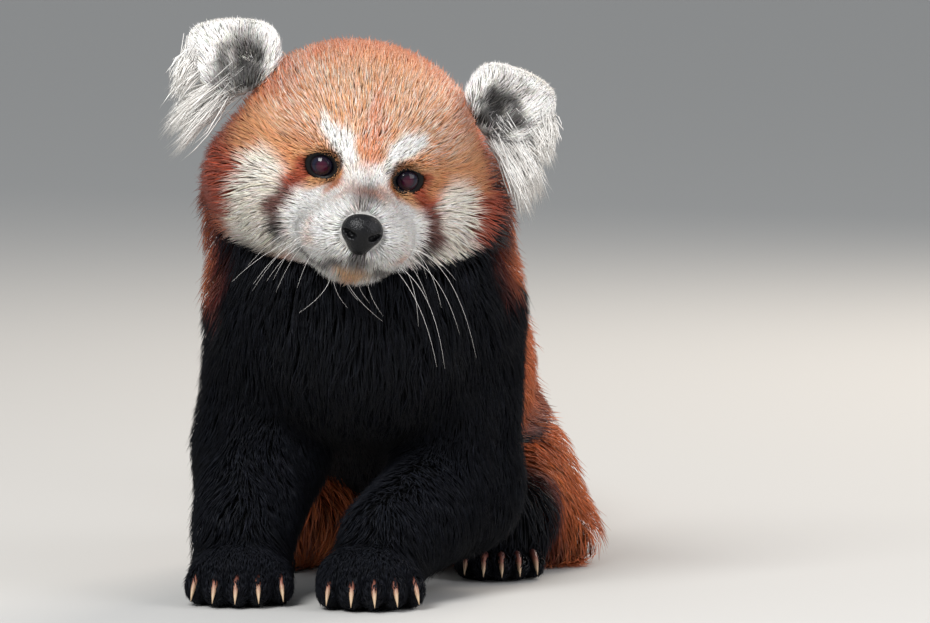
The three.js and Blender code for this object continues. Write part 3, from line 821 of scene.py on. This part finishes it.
def eye_material():
    """The wet cornea, polished by tears: one sharp highlight over a pupil painted red-brown as a reflection,
    and a dark iris.
    """
    made, tree, shader = material("Wet eye", {"Roughness": 0.03, "IOR": 1.38})
    gaze = node(tree, "ShaderNodeAttribute", {}, attribute_name="Gaze")
    ramp = node(tree, "ShaderNodeValToRGB", {"Fac": gaze.outputs["Fac"]})
    # The dark red over the pupil is a painted reflection; the iris round it is blue-black and the rest of
    # the ball black
    pupil = ((0, "#40101f"), (0.2, "#330e22"), (0.28, "#140c18"))
    set_stops(ramp, *pupil, (0.36, "#15162a"), (0.5, "#0a0a12"), (0.7, "#030304"))
    wire(shader, {"Base Color": ramp.outputs["Color"]})
    return made


def lid_material():
    """Bare moist eyelid skin, grown in folds 1.1 mm apart: dull black with a faint shine."""
    dull = {"Roughness": 0.42, "Specular IOR Level": 0.2, "Base Color": (*linear("#070607"), 1)}
    made, tree, shader = material("Moist eyelid skin", dull)
    place = node(tree, "ShaderNodeTexCoord", {}).outputs["Object"]
    fold = node(tree, "ShaderNodeTexNoise", {"Vector": place, "Scale": repeats(1.11)}).outputs["Fac"]
    bump = node(tree, "ShaderNodeBump", {"Height": fold, "Strength": 0.3, "Distance": 0.0005})
    wire(shader, {"Normal": bump.outputs[0]})
    return made


def nose_material():
    """Moist nose leather, grown in pebbles 0.8 mm across: near black, with painted shade in the grooves
    between the pebbles and many small highlights.
    """
    made, tree, shader = material("Nose leather", {"Roughness": 0.3, "Specular IOR Level": 0.25})
    place = node(tree, "ShaderNodeTexCoord", {}).outputs["Object"]
    cells = node(tree, "ShaderNodeTexVoronoi", {"Vector": place, "Scale": repeats(0.77)})
    pebble = cells.outputs["Distance"]
    # Painted shade: the grooves between the pebbles are darker than their tops
    ramp = node(tree, "ShaderNodeValToRGB", {"Fac": pebble})
    set_stops(ramp, (0, "#111114"), (1, "#050506"))
    bump = node(tree, "ShaderNodeBump", {"Height": pebble, "Strength": 0.5, "Distance": 0.0004}, invert=True)
    wire(shader, {"Base Color": ramp.outputs["Color"], "Normal": bump.outputs[0]})
    return made


def horn_material():
    """Claw horn, grown in layers and polished by climbing: blood brown at the root, pale at the tip."""
    made, tree, shader = material("Polished horn", {"Roughness": 0.4, "Specular IOR Level": 0.35})
    place = node(tree, "ShaderNodeTexCoord", {}).outputs["Object"]
    # The clouds between its layers are some 4 mm long
    noise = node(tree, "ShaderNodeTexNoise", {"Vector": place, "Scale": repeats(3.85), "Detail": 3.0})
    cloud = noise.outputs["Fac"]
    grown = node(tree, "ShaderNodeAttribute", {}, attribute_name="Grown")
    shades = {0: cloud, 1: 0.3, 2: grown.outputs["Fac"]}
    mixed = node(tree, "ShaderNodeMath", shades, operation="MULTIPLY_ADD")
    ramp = node(tree, "ShaderNodeValToRGB", {"Fac": mixed.outputs[0]})
    set_stops(ramp, (0.35, "#43211f"), (0.7, "#835244"), (1, "#b89e80"))
    bump = node(tree, "ShaderNodeBump", {"Height": cloud, "Strength": 0.15, "Distance": 0.0004})
    wire(shader, {"Base Color": ramp.outputs["Color"], "Normal": bump.outputs[0]})
    return made


def whisker_material():
    """Stiff clear whisker hair, grown smooth: pale, a little glossy, in tints that change every 11 mm."""
    made, tree, shader = material("Whisker", {"Roughness": 0.4, "Specular IOR Level": 0.5})
    place = node(tree, "ShaderNodeTexCoord", {}).outputs["Object"]
    tints = node(tree, "ShaderNodeTexNoise", {"Vector": place, "Scale": repeats(11.1)})
    ramp = node(tree, "ShaderNodeValToRGB", {"Fac": tints.outputs["Fac"]})
    set_stops(ramp, (0, "#cfc9c2"), (1, "#fbf9f5"))
    wire(shader, {"Base Color": ramp.outputs["Color"]})
    return made


def paper_material(colour):
    """Matt studio paper, pressed smooth: it takes soft shadows without a shine."""
    return material("Pale paper floor", {"Roughness": 0.9, "Base Color": (*colour, 1)})[0]


LEGS = ["foreleg_left", "foreleg_right", "thigh_left", "thigh_right"]
TAIL_PARTS = [f"tail_part_{i}" for i in range(1, 7)]
FLESH = ["head", "neck", "torso", "chest", *LEGS, "ear_left", "ear_right", *FEET, *TAIL_PARTS]
CROWN_FROM = -30
PIECE_TRIANGLES = 190000
# How much of the unwrap one tuft takes
TUFT_PATCH = 0.003
# Each group of tufts: its slot, the nodes that it replaces, the tufts' shape, and which roots are in it
COATS = {
    "coat_face": ("coat_face", ["head"], SHORT_TUFT, lambda w, q: on(w, "head") & (q[:, 1] < CROWN_FROM)),
    "coat_crown": ("coat_fox", ["head"], SHORT_TUFT, lambda w, q: on(w, "head") & (q[:, 1] >= CROWN_FROM)),
    "coat_ears": ("coat_white", ["ear_left", "ear_right"], SHORT_TUFT, lambda w, q: on(w, "ear")),
    "coat_trunk": ("coat_fox", ["neck", "torso", "chest"], LONG_TUFT, lambda w, q: on(w, "trunk")),
    "coat_forelegs": ("coat_black", LEGS[:2], SHORT_TUFT, lambda w, q: on(w, "foreleg")),
    "coat_thighs": ("coat_rust", LEGS[2:], LONG_TUFT, lambda w, q: on(w, "thigh")),
    "coat_tail": ("coat_rust", TAIL_PARTS, LONG_TUFT, lambda w, q: on(w, "tail")),
    "coat_feet": ("coat_black", list(FEET), SHORT_TUFT, lambda w, q: on(w, "forepaw", "hindfoot")),
}


def unwrap(p, group):
    """Where each place falls on an unwrap of the skin, round and along its part of the body."""
    if group in ("coat_face", "coat_crown", "coat_ears"):
        q = to_head(p)
        around = np.arctan2(q[:, 0], -q[:, 1])
        along = q[:, 2] / 160
    elif group == "coat_tail":
        xs, ys, zs = TAIL_LINE
        around = np.arctan2(p[:, 0] - np.interp(p[:, 1], ys, xs), p[:, 2] - np.interp(p[:, 1], ys, zs))
        along = tail_place(p) - 0.5
    elif group == "coat_trunk":
        around = np.arctan2(p[:, 0] - 0.2 * p[:, 1], p[:, 2] - 175 + 0.5 * p[:, 1])
        along = (p[:, 1] - 0.6 * p[:, 2]) / 460
    else:
        side = np.where(p[:, 0] > 0.2 * p[:, 1] - 16, 1, -1)
        around = np.arctan2(p[:, 0] - side * 52 - 0.2 * p[:, 1], -(p[:, 1] % 150) + 70) * 0.48 + side * 1.55
        along = p[:, 2] / 230 - 0.4
    return np.stack([0.5 + around / 6.6, np.clip(0.5 + 0.9 * along, 0.01, 0.99)], axis=1)


def coat_roots(points, faces, cover):
    """Roots spread over the skin, closer where the tufts are finer, and fewer underneath and behind."""
    tris = np.concatenate([faces[:, :3], faces[:, [0, 2, 3]]])
    a, b, c = (points[tris[:, i]] for i in range(3))
    area = length(np.cross(b - a, c - a)) / 2
    middle = (a + b + c) / 3
    size = coat_size(middle, nearest(middle))
    draw = np.random.default_rng(7)
    want = area * cover / (size[:, 0] * size[:, 1])
    want *= np.where(middle[:, 2] < 6, 0.35, 1)
    want *= 1 - 0.18 * step(middle[:, 1], 90, 160)
    count = np.floor(want + draw.random(len(want))).astype(int)
    index = np.repeat(np.arange(len(tris)), count)
    u, v = draw.random((2, len(index), 1)).astype(np.float32)
    u, v = np.where(u + v > 1, 1 - u, u), np.where(u + v > 1, 1 - v, v)
    roots = a[index] * (1 - u - v) + b[index] * u + c[index] * v
    return roots[~bare(roots)]


def bare(p):
    """Where no hair grows: the eyes with their lids, and the nose."""
    q = to_head(p)
    eye = length((folded(q) - (21.8, -47, 0.5)) / (7.2, 14, 6.3)) < 1
    nose = length((q - (0, -86, -22)) / (9.6, 8.4, 9.4)) < 1
    return eye | nose


def tuft_tints(line, which, look, draw):
    """Each tuft's own colour: its marking, with pale hairs among the fox red ones and a few in the black."""
    count = len(line)
    tint = markings(line[:, 1], look)
    q = to_head(line[:, 1])
    brow = step(q[:, 2], 2, 22) * step(q[:, 2], 62, 44) * step(q[:, 1], 30, -10)
    brow *= step(np.abs(q[:, 0]), 62, 44) * on(which, "head")
    grizzle = brow * (tint[:, 0] > 2 * tint[:, 2])
    dark = 1 - step(tint.max(axis=1), 0.02, 0.1)
    pale = np.clip(np.abs(draw.normal(0, 0.36, count)) * (0.1 - 0.07 * dark + grizzle), 0, 0.9)[:, None]
    pale_tone = np.outer(1 - dark, look.cream[:]) + np.outer(dark, look.frost[:])
    tint = tint + (pale_tone - tint) * pale
    return tint * draw.normal(1, 0.15, (count, 1)) * draw.normal(1, 0.035, (count, 3))


def paint_tufts(piece, tint, along):
    """Gives every point its tuft's colour, and how far it is from the root, which sets how much painted
    shade darkens it.
    """
    count, each = len(tint), along.shape[-1]
    along = np.broadcast_to(along, (count, each))
    colours = np.concatenate([np.repeat(tint[:, None], each, axis=1), along[:, :, None]], axis=2)
    paint_points(piece, "Markings", colours)


def weave(name, group, nodes, slot, block, line, which, look, draw):
    """One piece of the coat from its tufts, with their colours and their patches of the unwrap."""
    count, each = block.shape[:2]
    stations = each // 3
    index = (tuft_faces(stations)[None] + each * np.arange(count)[:, None, None]).reshape(-1, 3)
    hair = bpy.data.materials.get("Guard hair") or hair_material()
    piece = mesh_piece(name, block.reshape(-1, 3), index, hair, slot, nodes)
    along = along_tuft(stations)
    # Painted shade darkens each tuft towards its root, less on the white ear hair
    lit = along + 0.4 * on(which, "ear")[:, None] * (1 - along)
    paint_tufts(piece, tuft_tints(line, which, look, draw), lit)
    spread = np.append(np.tile([-0.5, 0.5, 0], stations), 0)
    patch = TUFT_PATCH * np.stack([spread, along - 0.5], axis=1)
    place = unwrap(line[:, 0], group)[:, None] + patch[None]
    layer = piece.data.uv_layers.new(name="OFBake")
    layer.data.foreach_set("uv", place.reshape(-1, 2)[index.ravel()].astype(np.float32).ravel())
    return piece


def ring_faces(rings, around, first=0, closed=False):
    """Triangles between rings of points in a row, and from the last to the first where it is closed."""
    r, k = np.divmod(np.arange((rings if closed else rings - 1) * around), around)
    ahead, beside = (r + 1) % rings * around, (k + 1) % around
    a, b, c, d = r * around + k, r * around + beside, ahead + k, ahead + beside
    return first + np.concatenate([np.stack([a, c, d], axis=1), np.stack([a, d, b], axis=1)])


def cap_faces(middle, ring, around):
    """Triangles that close a ring of points, which starts at one number, to a middle point."""
    k = np.arange(around)
    return np.stack([np.full(around, middle), ring + k, ring + (k + 1) % around], axis=1)


def tube(path, radii, around=10, flat=1.0):
    """A rod of round or oval section along points, closed at both ends: points and faces."""
    path = np.array(path, float)
    rings = []
    for i, (at, radius) in enumerate(zip(path, radii)):
        ahead = path[min(i + 1, len(path) - 1)] - path[max(i - 1, 0)]
        ahead /= np.linalg.norm(ahead)
        side = np.cross(ahead, (0, 0, 1))
        side /= max(np.linalg.norm(side), 1e-6)
        top = np.cross(side, ahead)
        turn = 2 * np.pi * np.arange(around) / around
        rings.append(at + radius * (np.outer(np.cos(turn), side) + flat * np.outer(np.sin(turn), top)))
    points = np.concatenate(rings + [path[:1], path[-1:]])
    count = len(path) * around
    start, end = cap_faces(count, 0, around), cap_faces(count + 1, count - around, around)
    return points, np.concatenate([ring_faces(len(path), around), start, end[:, ::-1]])


def joined(parts):
    base, points, faces = 0, [], []
    for p, f in parts:
        points.append(p)
        faces.append(f + base)
        base += len(p)
    return np.concatenate(points), np.concatenate(faces)


skin_made = {}


class PANDA_OT_skin(bpy.types.Operator):
    """One skin under the whole coat, with the same markings"""

    bl_idname = "panda.skin"
    bl_label = "Skin"

    def execute(self, context):
        xs = np.arange(-128, 132, 2.2)
        ys = np.concatenate([np.arange(-112, 60, 2), np.arange(60, 300, 3.2), np.arange(300, 690, 4.5)])
        zs = np.concatenate([np.arange(-4, 40, 2), np.arange(40, 160, 3.2), np.arange(160, 300, 2)])
        points, faces = surface(skin_form, xs, ys, zs)
        points[:, 2] = np.maximum(points[:, 2], 0)
        skin_made["mesh"] = points, faces
        piece = mesh_piece("skin", points, faces, wool_material(), "coat_fox", FLESH)
        colours = markings(points, context.scene.panda_tones)
        paint_points(piece, "Markings", np.column_stack([colours, np.ones(len(points))]))
        return {"FINISHED"}


class PANDA_OT_coat(bpy.types.Operator):
    """The coat, in tufts that follow its lie from the skin up"""

    bl_idname = "panda.coat"
    bl_label = "Coat"

    def execute(self, context):
        if not skin_made:
            raise RuntimeError("The coat grows on the skin, so the skin comes first")
        look = context.scene.panda_tones
        roots = coat_roots(*skin_made["mesh"], context.scene.panda_sizes.cover)
        which = nearest(roots)
        q = to_head(roots)
        draw = np.random.default_rng(21)
        for group, (slot, nodes, share, chosen) in COATS.items():
            mine = np.flatnonzero(chosen(which, q))
            parts = max(1, math.ceil(len(mine) * (6 * len(share) - 2) / PIECE_TRIANGLES))
            mine = mine[np.argsort(roots[mine, 0] if parts < 3 else roots[mine, 1], kind="stable")]
            for i, part in enumerate(np.array_split(mine, parts)):
                name = group if parts == 1 else f"{group}_{i + 1}"
                block, line = tufts(roots[part], which[part], share, draw)
                weave(name, group, nodes, slot, block, line, which[part], look, draw)
        return {"FINISHED"}


# The locks of a plume, each by its root, middle and tip, and how far its hairs stray from them
PLUME_LOCKS = (
    ((92, 10, 38), (97, 9, 28), (99, 6, 13)),
    ((84, 11, 32), (95, 9, 24), (101, 6, 8)),
    ((72, 10, 26), (90, 7, 12), (103, 4, -14)),
    ((70, 9, 21), (84, 6, 3), (98, 3, -22)),
    ((72, 13, 25), (89, 17, 9), (97, 19, -13)),
)
PLUME_STRAY = ((2.6, 2.5, 3), (2.8, 3, 3.5), (3.5, 4, 5))
LOCK_HAIRS = 400


def plume_hair(lock, side, draw):
    """One hair of a plume, bent from its root past its middle towards its tip: points and line."""
    a, b, c = np.array(lock) + draw.normal(0, 1, (3, 3)) * PLUME_STRAY
    c = b + (c - b) * draw.uniform(0.0, 0.8)
    wide = draw.uniform(0.22, 0.48)
    s = np.linspace(0, 1, len(PLUME_TUFT) + 1)[:, None]
    line = from_head((a * (1 - s) ** 2 + 2 * b * s * (1 - s) + c * s * s) * (side, 1, 1))
    ring = np.array([(-1, 0, 0), (1, 0, 0), (0, -0.7, 0.5)])
    points = [at + ring * wide * share for at, share in zip(line, PLUME_TUFT)]
    return np.concatenate(points + [line[-1:]]), line


class PANDA_OT_plumes(bpy.types.Operator):
    """Long white hair that hangs out and down from the foot of each ear"""

    bl_idname = "panda.plumes"
    bl_label = "Ear plumes"

    def execute(self, context):
        look = context.scene.panda_tones
        draw = np.random.default_rng(5)
        for side, name in ((-1, "right"), (1, "left")):
            hairs = [plume_hair(lock, side, draw) for lock in PLUME_LOCKS for _ in range(LOCK_HAIRS)]
            block, line = (np.array(part) for part in zip(*hairs))
            which = np.full(len(block), KINDS.index("ear"))
            nodes, title = [f"ear_{name}"], f"plume_{name}"
            piece = weave(title, "coat_ears", nodes, "coat_white", block, line, which, look, draw)
            # Plumes are all white, whatever the ear's own markings are at their roots
            tint = np.outer(draw.normal(1, 0.05, len(block)), look.white[:])
            # The plumes take as little painted shade at their roots as the ear's own white hair
            paint_tufts(piece, tint, 0.4 + 0.6 * along_tuft(len(PLUME_TUFT)))
        return {"FINISHED"}


def eyeball(side):
    """A ball with a swollen cornea, turned a little outwards: points, faces, and the angle from its pole."""
    rows, around = 40, 48
    tilt = np.linspace(0, np.pi, rows + 1)[1:-1]
    tilts = np.concatenate([[0], np.repeat(tilt, around), [np.pi]])
    turns = np.concatenate([[0], np.tile(2 * np.pi * np.arange(around) / around, rows - 1), [0]])
    radius = EYE_RADIUS * (1 + 0.05 * np.exp(-((tilts / 0.5) ** 2)))
    ball = np.stack([np.sin(tilts) * np.cos(turns), -np.cos(tilts), np.sin(tilts) * np.sin(turns)], axis=1)
    ball = (ball * radius[:, None]) @ turn_of("Z", 8 * side).T
    last = len(ball) - 1
    front, back = cap_faces(0, 1, around), cap_faces(last, last - around, around)[:, ::-1]
    faces = np.concatenate([ring_faces(rows - 1, around, first=1), front, back])
    return from_head(ball + np.array(EYE_AT) * (side, 1, 1)), faces, tilts


def eyelid(side):
    """A rim round the eye's opening, leaning as the face does: points and faces."""
    steps, around = 56, 12
    lean = turn_of("Z", 17 * side) @ turn_of("Y", -9 * side) @ turn_of("X", 90)
    small = 2 * np.pi * np.arange(around) / around
    reach = 7.4 + 2.0 * np.cos(small)
    rings = []
    for t in 2 * np.pi * np.arange(steps) / steps:
        x, y = 1.04 * reach * np.cos(t), 0.9 * reach * np.sin(t)
        rings.append(np.stack([x, y, 1.5 * np.sin(small)], axis=1))
    points = np.concatenate(rings) @ lean.T + np.array((21.9 * side, -45.4, 0.5))
    return from_head(points), ring_faces(steps, around, closed=True)


class PANDA_OT_eyes(bpy.types.Operator):
    """Wet dark eyes, each with a painted red-brown reflection in its pupil, and their black lids"""

    bl_idname = "panda.eyes"
    bl_label = "Eyes and lids"

    def execute(self, context):
        wet = eye_material()
        for side, name in ((-1, "right"), (1, "left")):
            points, faces, tilts = eyeball(side)
            piece = mesh_piece(f"eyeball_{name}", points, faces, wet, "eye", [f"eye_{name}"])
            mark_points(piece, "Gaze", tilts / 1.57)
        lids = joined([eyelid(-1), eyelid(1)])
        mesh_piece("eyelids", *lids, lid_material(), "nose_leather", ["head"])
        return {"FINISHED"}


class PANDA_OT_nose(bpy.types.Operator):
    """A black leathery nose with two nostrils and a groove down its front"""

    bl_idname = "panda.nose"
    bl_label = "Nose"

    def execute(self, context):
        x, y, z = NOSE_AT
        pad = blend(3, egg((x, y, z), (10.8, 8.5, 9.2)), egg((x, y + 1, z - 7), (6, 6.5, 6)))
        nostrils = pair(5.8, y - 7.4, z - 2, (2.6, 4.5, 1.9))
        slits = pair(8.2, y - 5, z - 0.6, (2.6, 3.5, 1.2))
        groove = taper((0, y - 9, z - 4), 0.5, (0, y - 6, z - 14), 0.9)
        form = hollow(1.2, hollow(1.5, pad, blend(0.5, *nostrils, *slits)), groove)
        grid = (np.arange(-13, 13.5, 0.6), np.arange(-97, -73, 0.6), np.arange(-37, -9, 0.6))
        points, faces = surface(form, *grid)
        mesh_piece("nose_pad", from_head(points), faces, nose_material(), "nose_leather", ["nose"])
        return {"FINISHED"}


CLAW_STEPS = 12


def claw(shape, toe_number, long):
    """One claw, curved from inside its toe down to just over the floor, in its foot's own frame."""
    toe = shape["toe"]
    aim = math.radians(toe_number * shape["splay"])
    ahead = np.array((math.sin(aim), -math.cos(aim), 0))
    base = np.array((toe_number * shape["spacing"], shape["knuckle"] + 3.2 * toe_number**2, 0))
    base = base + ahead * toe[1] * 1.2
    s = np.linspace(0, 1, CLAW_STEPS)[:, None]
    path = base + ahead * long * (s - 0.34) * (1 - 0.18 * s)
    top = 1.5 * toe[2]
    path[:, 2:] = top + 1 - (top - 2.4) * s * s
    radii = np.maximum(0.12, (2.35 - 1.35 * s) * (1 - s**6))[:, 0]
    return path, radii


class PANDA_OT_claws(bpy.types.Operator):
    """Twenty curved claws of pale horn"""

    bl_idname = "panda.claws"
    bl_label = "Claws"

    def execute(self, context):
        horn = horn_material()
        for foot, (shape, at, turned, long) in FEET.items():
            parts = []
            for toe_number in range(-2, 3):
                path, radii = claw(shape, toe_number, long)
                parts.append(tube(path @ turn_of("Z", turned).T + np.array(at), radii, 12, 1.25))
            nodes = [f"claw_{foot}_{i}" for i in range(1, 6)]
            piece = mesh_piece(f"claws_{foot}", *joined(parts), horn, "claw", nodes)
            grown = np.append(np.repeat(np.linspace(0, 1, CLAW_STEPS), 12), (0, 1))
            mark_points(piece, "Grown", np.tile(grown, 5))
        return {"FINISHED"}


def whisker(root, out, sag, bend, thick, steps):
    """One whisker from its root along one way, sagging by a power of its length, thinner to its tip."""
    t = np.linspace(0, 1, steps)[:, None]
    return tube(from_head(root + out * t + sag * t**bend), thick * (1 - 0.7 * t[:, 0]), 5)


class PANDA_OT_whiskers(bpy.types.Operator):
    """Fine pale whiskers on both sides of the muzzle and under the chin"""

    bl_idname = "panda.whiskers"
    bl_label = "Whiskers"

    def execute(self, context):
        longest = context.scene.panda_sizes.whisker / MM
        draw = np.random.default_rng(17)
        parts = []
        for side in (-1, 1):
            for s in np.linspace(0, 1, 10):
                root = (side * draw.uniform(15, 25), draw.uniform(-72, -58), draw.uniform(-38, -24))
                long = longest * draw.uniform(0.3, 1)
                out = np.array((side * (1.0 - 0.4 * s), -0.35, 0.3 - 0.8 * s)) + draw.normal(0, 0.1, 3)
                out *= long / np.linalg.norm(out)
                sag = np.array((-0.25 * side * s, 0.1, -1)) * draw.uniform(0.3, 1.05) * long
                parts.append(whisker(root, out, sag, 2.2, 0.115, 12))
        for _ in range(6):
            root = (draw.uniform(-10, 12), -68 + draw.uniform(-3, 3), -49)
            out = np.array((draw.normal(0, 0.25) + 0.15, -0.25, -1)) * draw.uniform(10, 22)
            parts.append(whisker(root, out, np.array((8, 4, 0)) * draw.normal(), 2, 0.1, 10))
        mesh_piece("whiskers", *joined(parts), whisker_material(), "coat_white", ["head"])
        return {"FINISHED"}


# Each light's place, power, size and colour
LIGHTS = {
    "key": ((-0.9, -2.0, 1.9), 80, 1.2, "#ffffff"),
    "fill": ((1.9, -1.3, 1.1), 24, 1.6, "#fdfbff"),
    "rim": ((1.1, 1.6, 1.6), 46, 1.2, "#fff3e6"),
}
LIT_PLACE = Vector((0, -0.25, 0.17))
SKY, SKY_STRENGTH = "#e9edf2", 0.6
FLOOR_HALF = 30
# The camera looks down by 4 degrees at this place, in the forms' own frame
CAMERA_RISE = math.radians(4)
CAMERA_AIM = (54.6, 0, 150.4)
CAMERA_LENS, CAMERA_SENSOR = 297.8, 36


class PANDA_OT_stage(bpy.types.Operator):
    """A plain pale floor, soft studio light and the camera"""

    bl_idname = "panda.stage"
    bl_label = "Stage"

    def execute(self, context):
        scene, look = context.scene, context.scene.panda_stage
        mesh = bpy.data.meshes.new("floor")
        corners = [(x * FLOOR_HALF, y * FLOOR_HALF, 0) for x, y in ((-1, -1), (1, -1), (1, 1), (-1, 1))]
        mesh.from_pydata(corners, [], [(0, 1, 2, 3)])
        mesh.materials.append(paper_material(look.floor))
        floor = bpy.data.objects.new("floor", mesh)
        scene.collection.objects.link(floor)
        world = bpy.data.worlds.new("Studio")
        world.use_nodes = True
        wire(world.node_tree.nodes["Background"], {"Color": (*linear(SKY), 1), "Strength": SKY_STRENGTH})
        scene.world = world
        scene.view_settings.view_transform = "Standard"
        for name, (at, power, size, glow) in LIGHTS.items():
            data = bpy.data.lights.new(name, "AREA")
            data.energy = power
            data.size = size
            data.color = linear(glow)
            light = bpy.data.objects.new(name, data)
            light.location = at
            light.rotation_euler = (LIT_PLACE - Vector(at)).to_track_quat("-Z", "Y").to_euler()
            scene.collection.objects.link(light)
        data = bpy.data.cameras.new("Camera")
        data.lens = CAMERA_LENS
        data.sensor_width = CAMERA_SENSOR
        camera = bpy.data.objects.new("Camera", data)
        away = Vector((0, -math.cos(CAMERA_RISE), math.sin(CAMERA_RISE)))
        camera.location = Vector((CAMERA_AIM + SHIFT) * MM) + look.far * away
        camera.rotation_euler = (math.pi / 2 - CAMERA_RISE, 0, 0)
        scene.collection.objects.link(camera)
        scene.camera = camera
        return {"FINISHED"}


STEPS = ("skin", "coat", "plumes", "eyes", "nose", "claws", "whiskers", "stage")
GROUP_CLASSES = {"panda_tones": CoatTones, "panda_sizes": CoatSizes, "panda_stage": StageLook}


class PANDA_PT_panel(bpy.types.Panel):
    """Lists the animal's pieces, and the sizes and colours that they are made with"""

    bl_label = "Red panda"
    bl_space_type = "VIEW_3D"
    bl_region_type = "UI"
    bl_category = "Red panda"

    def draw(self, context):
        for name in STEPS:
            self.layout.operator(f"panda.{name}")
        for name in GROUP_CLASSES:
            group = getattr(context.scene, name)
            for key in group.bl_rna.properties.keys():
                if key not in ("rna_type", "name"):
                    self.layout.prop(group, key)


CLASSES = (
    *GROUP_CLASSES.values(),
    PANDA_OT_skin,
    PANDA_OT_coat,
    PANDA_OT_plumes,
    PANDA_OT_eyes,
    PANDA_OT_nose,
    PANDA_OT_claws,
    PANDA_OT_whiskers,
    PANDA_OT_stage,
    PANDA_PT_panel,
)


def register():
    for cls in CLASSES:
        bpy.utils.register_class(cls)
    for name, cls in GROUP_CLASSES.items():
        setattr(bpy.types.Scene, name, PointerProperty(type=cls))


def unregister():
    for name in GROUP_CLASSES:
        delattr(bpy.types.Scene, name)
    for cls in reversed(CLASSES):
        bpy.utils.unregister_class(cls)


def main():
    register()
    for name in STEPS:
        getattr(bpy.ops.panda, name)()


if __name__ == "__main__":
    main()
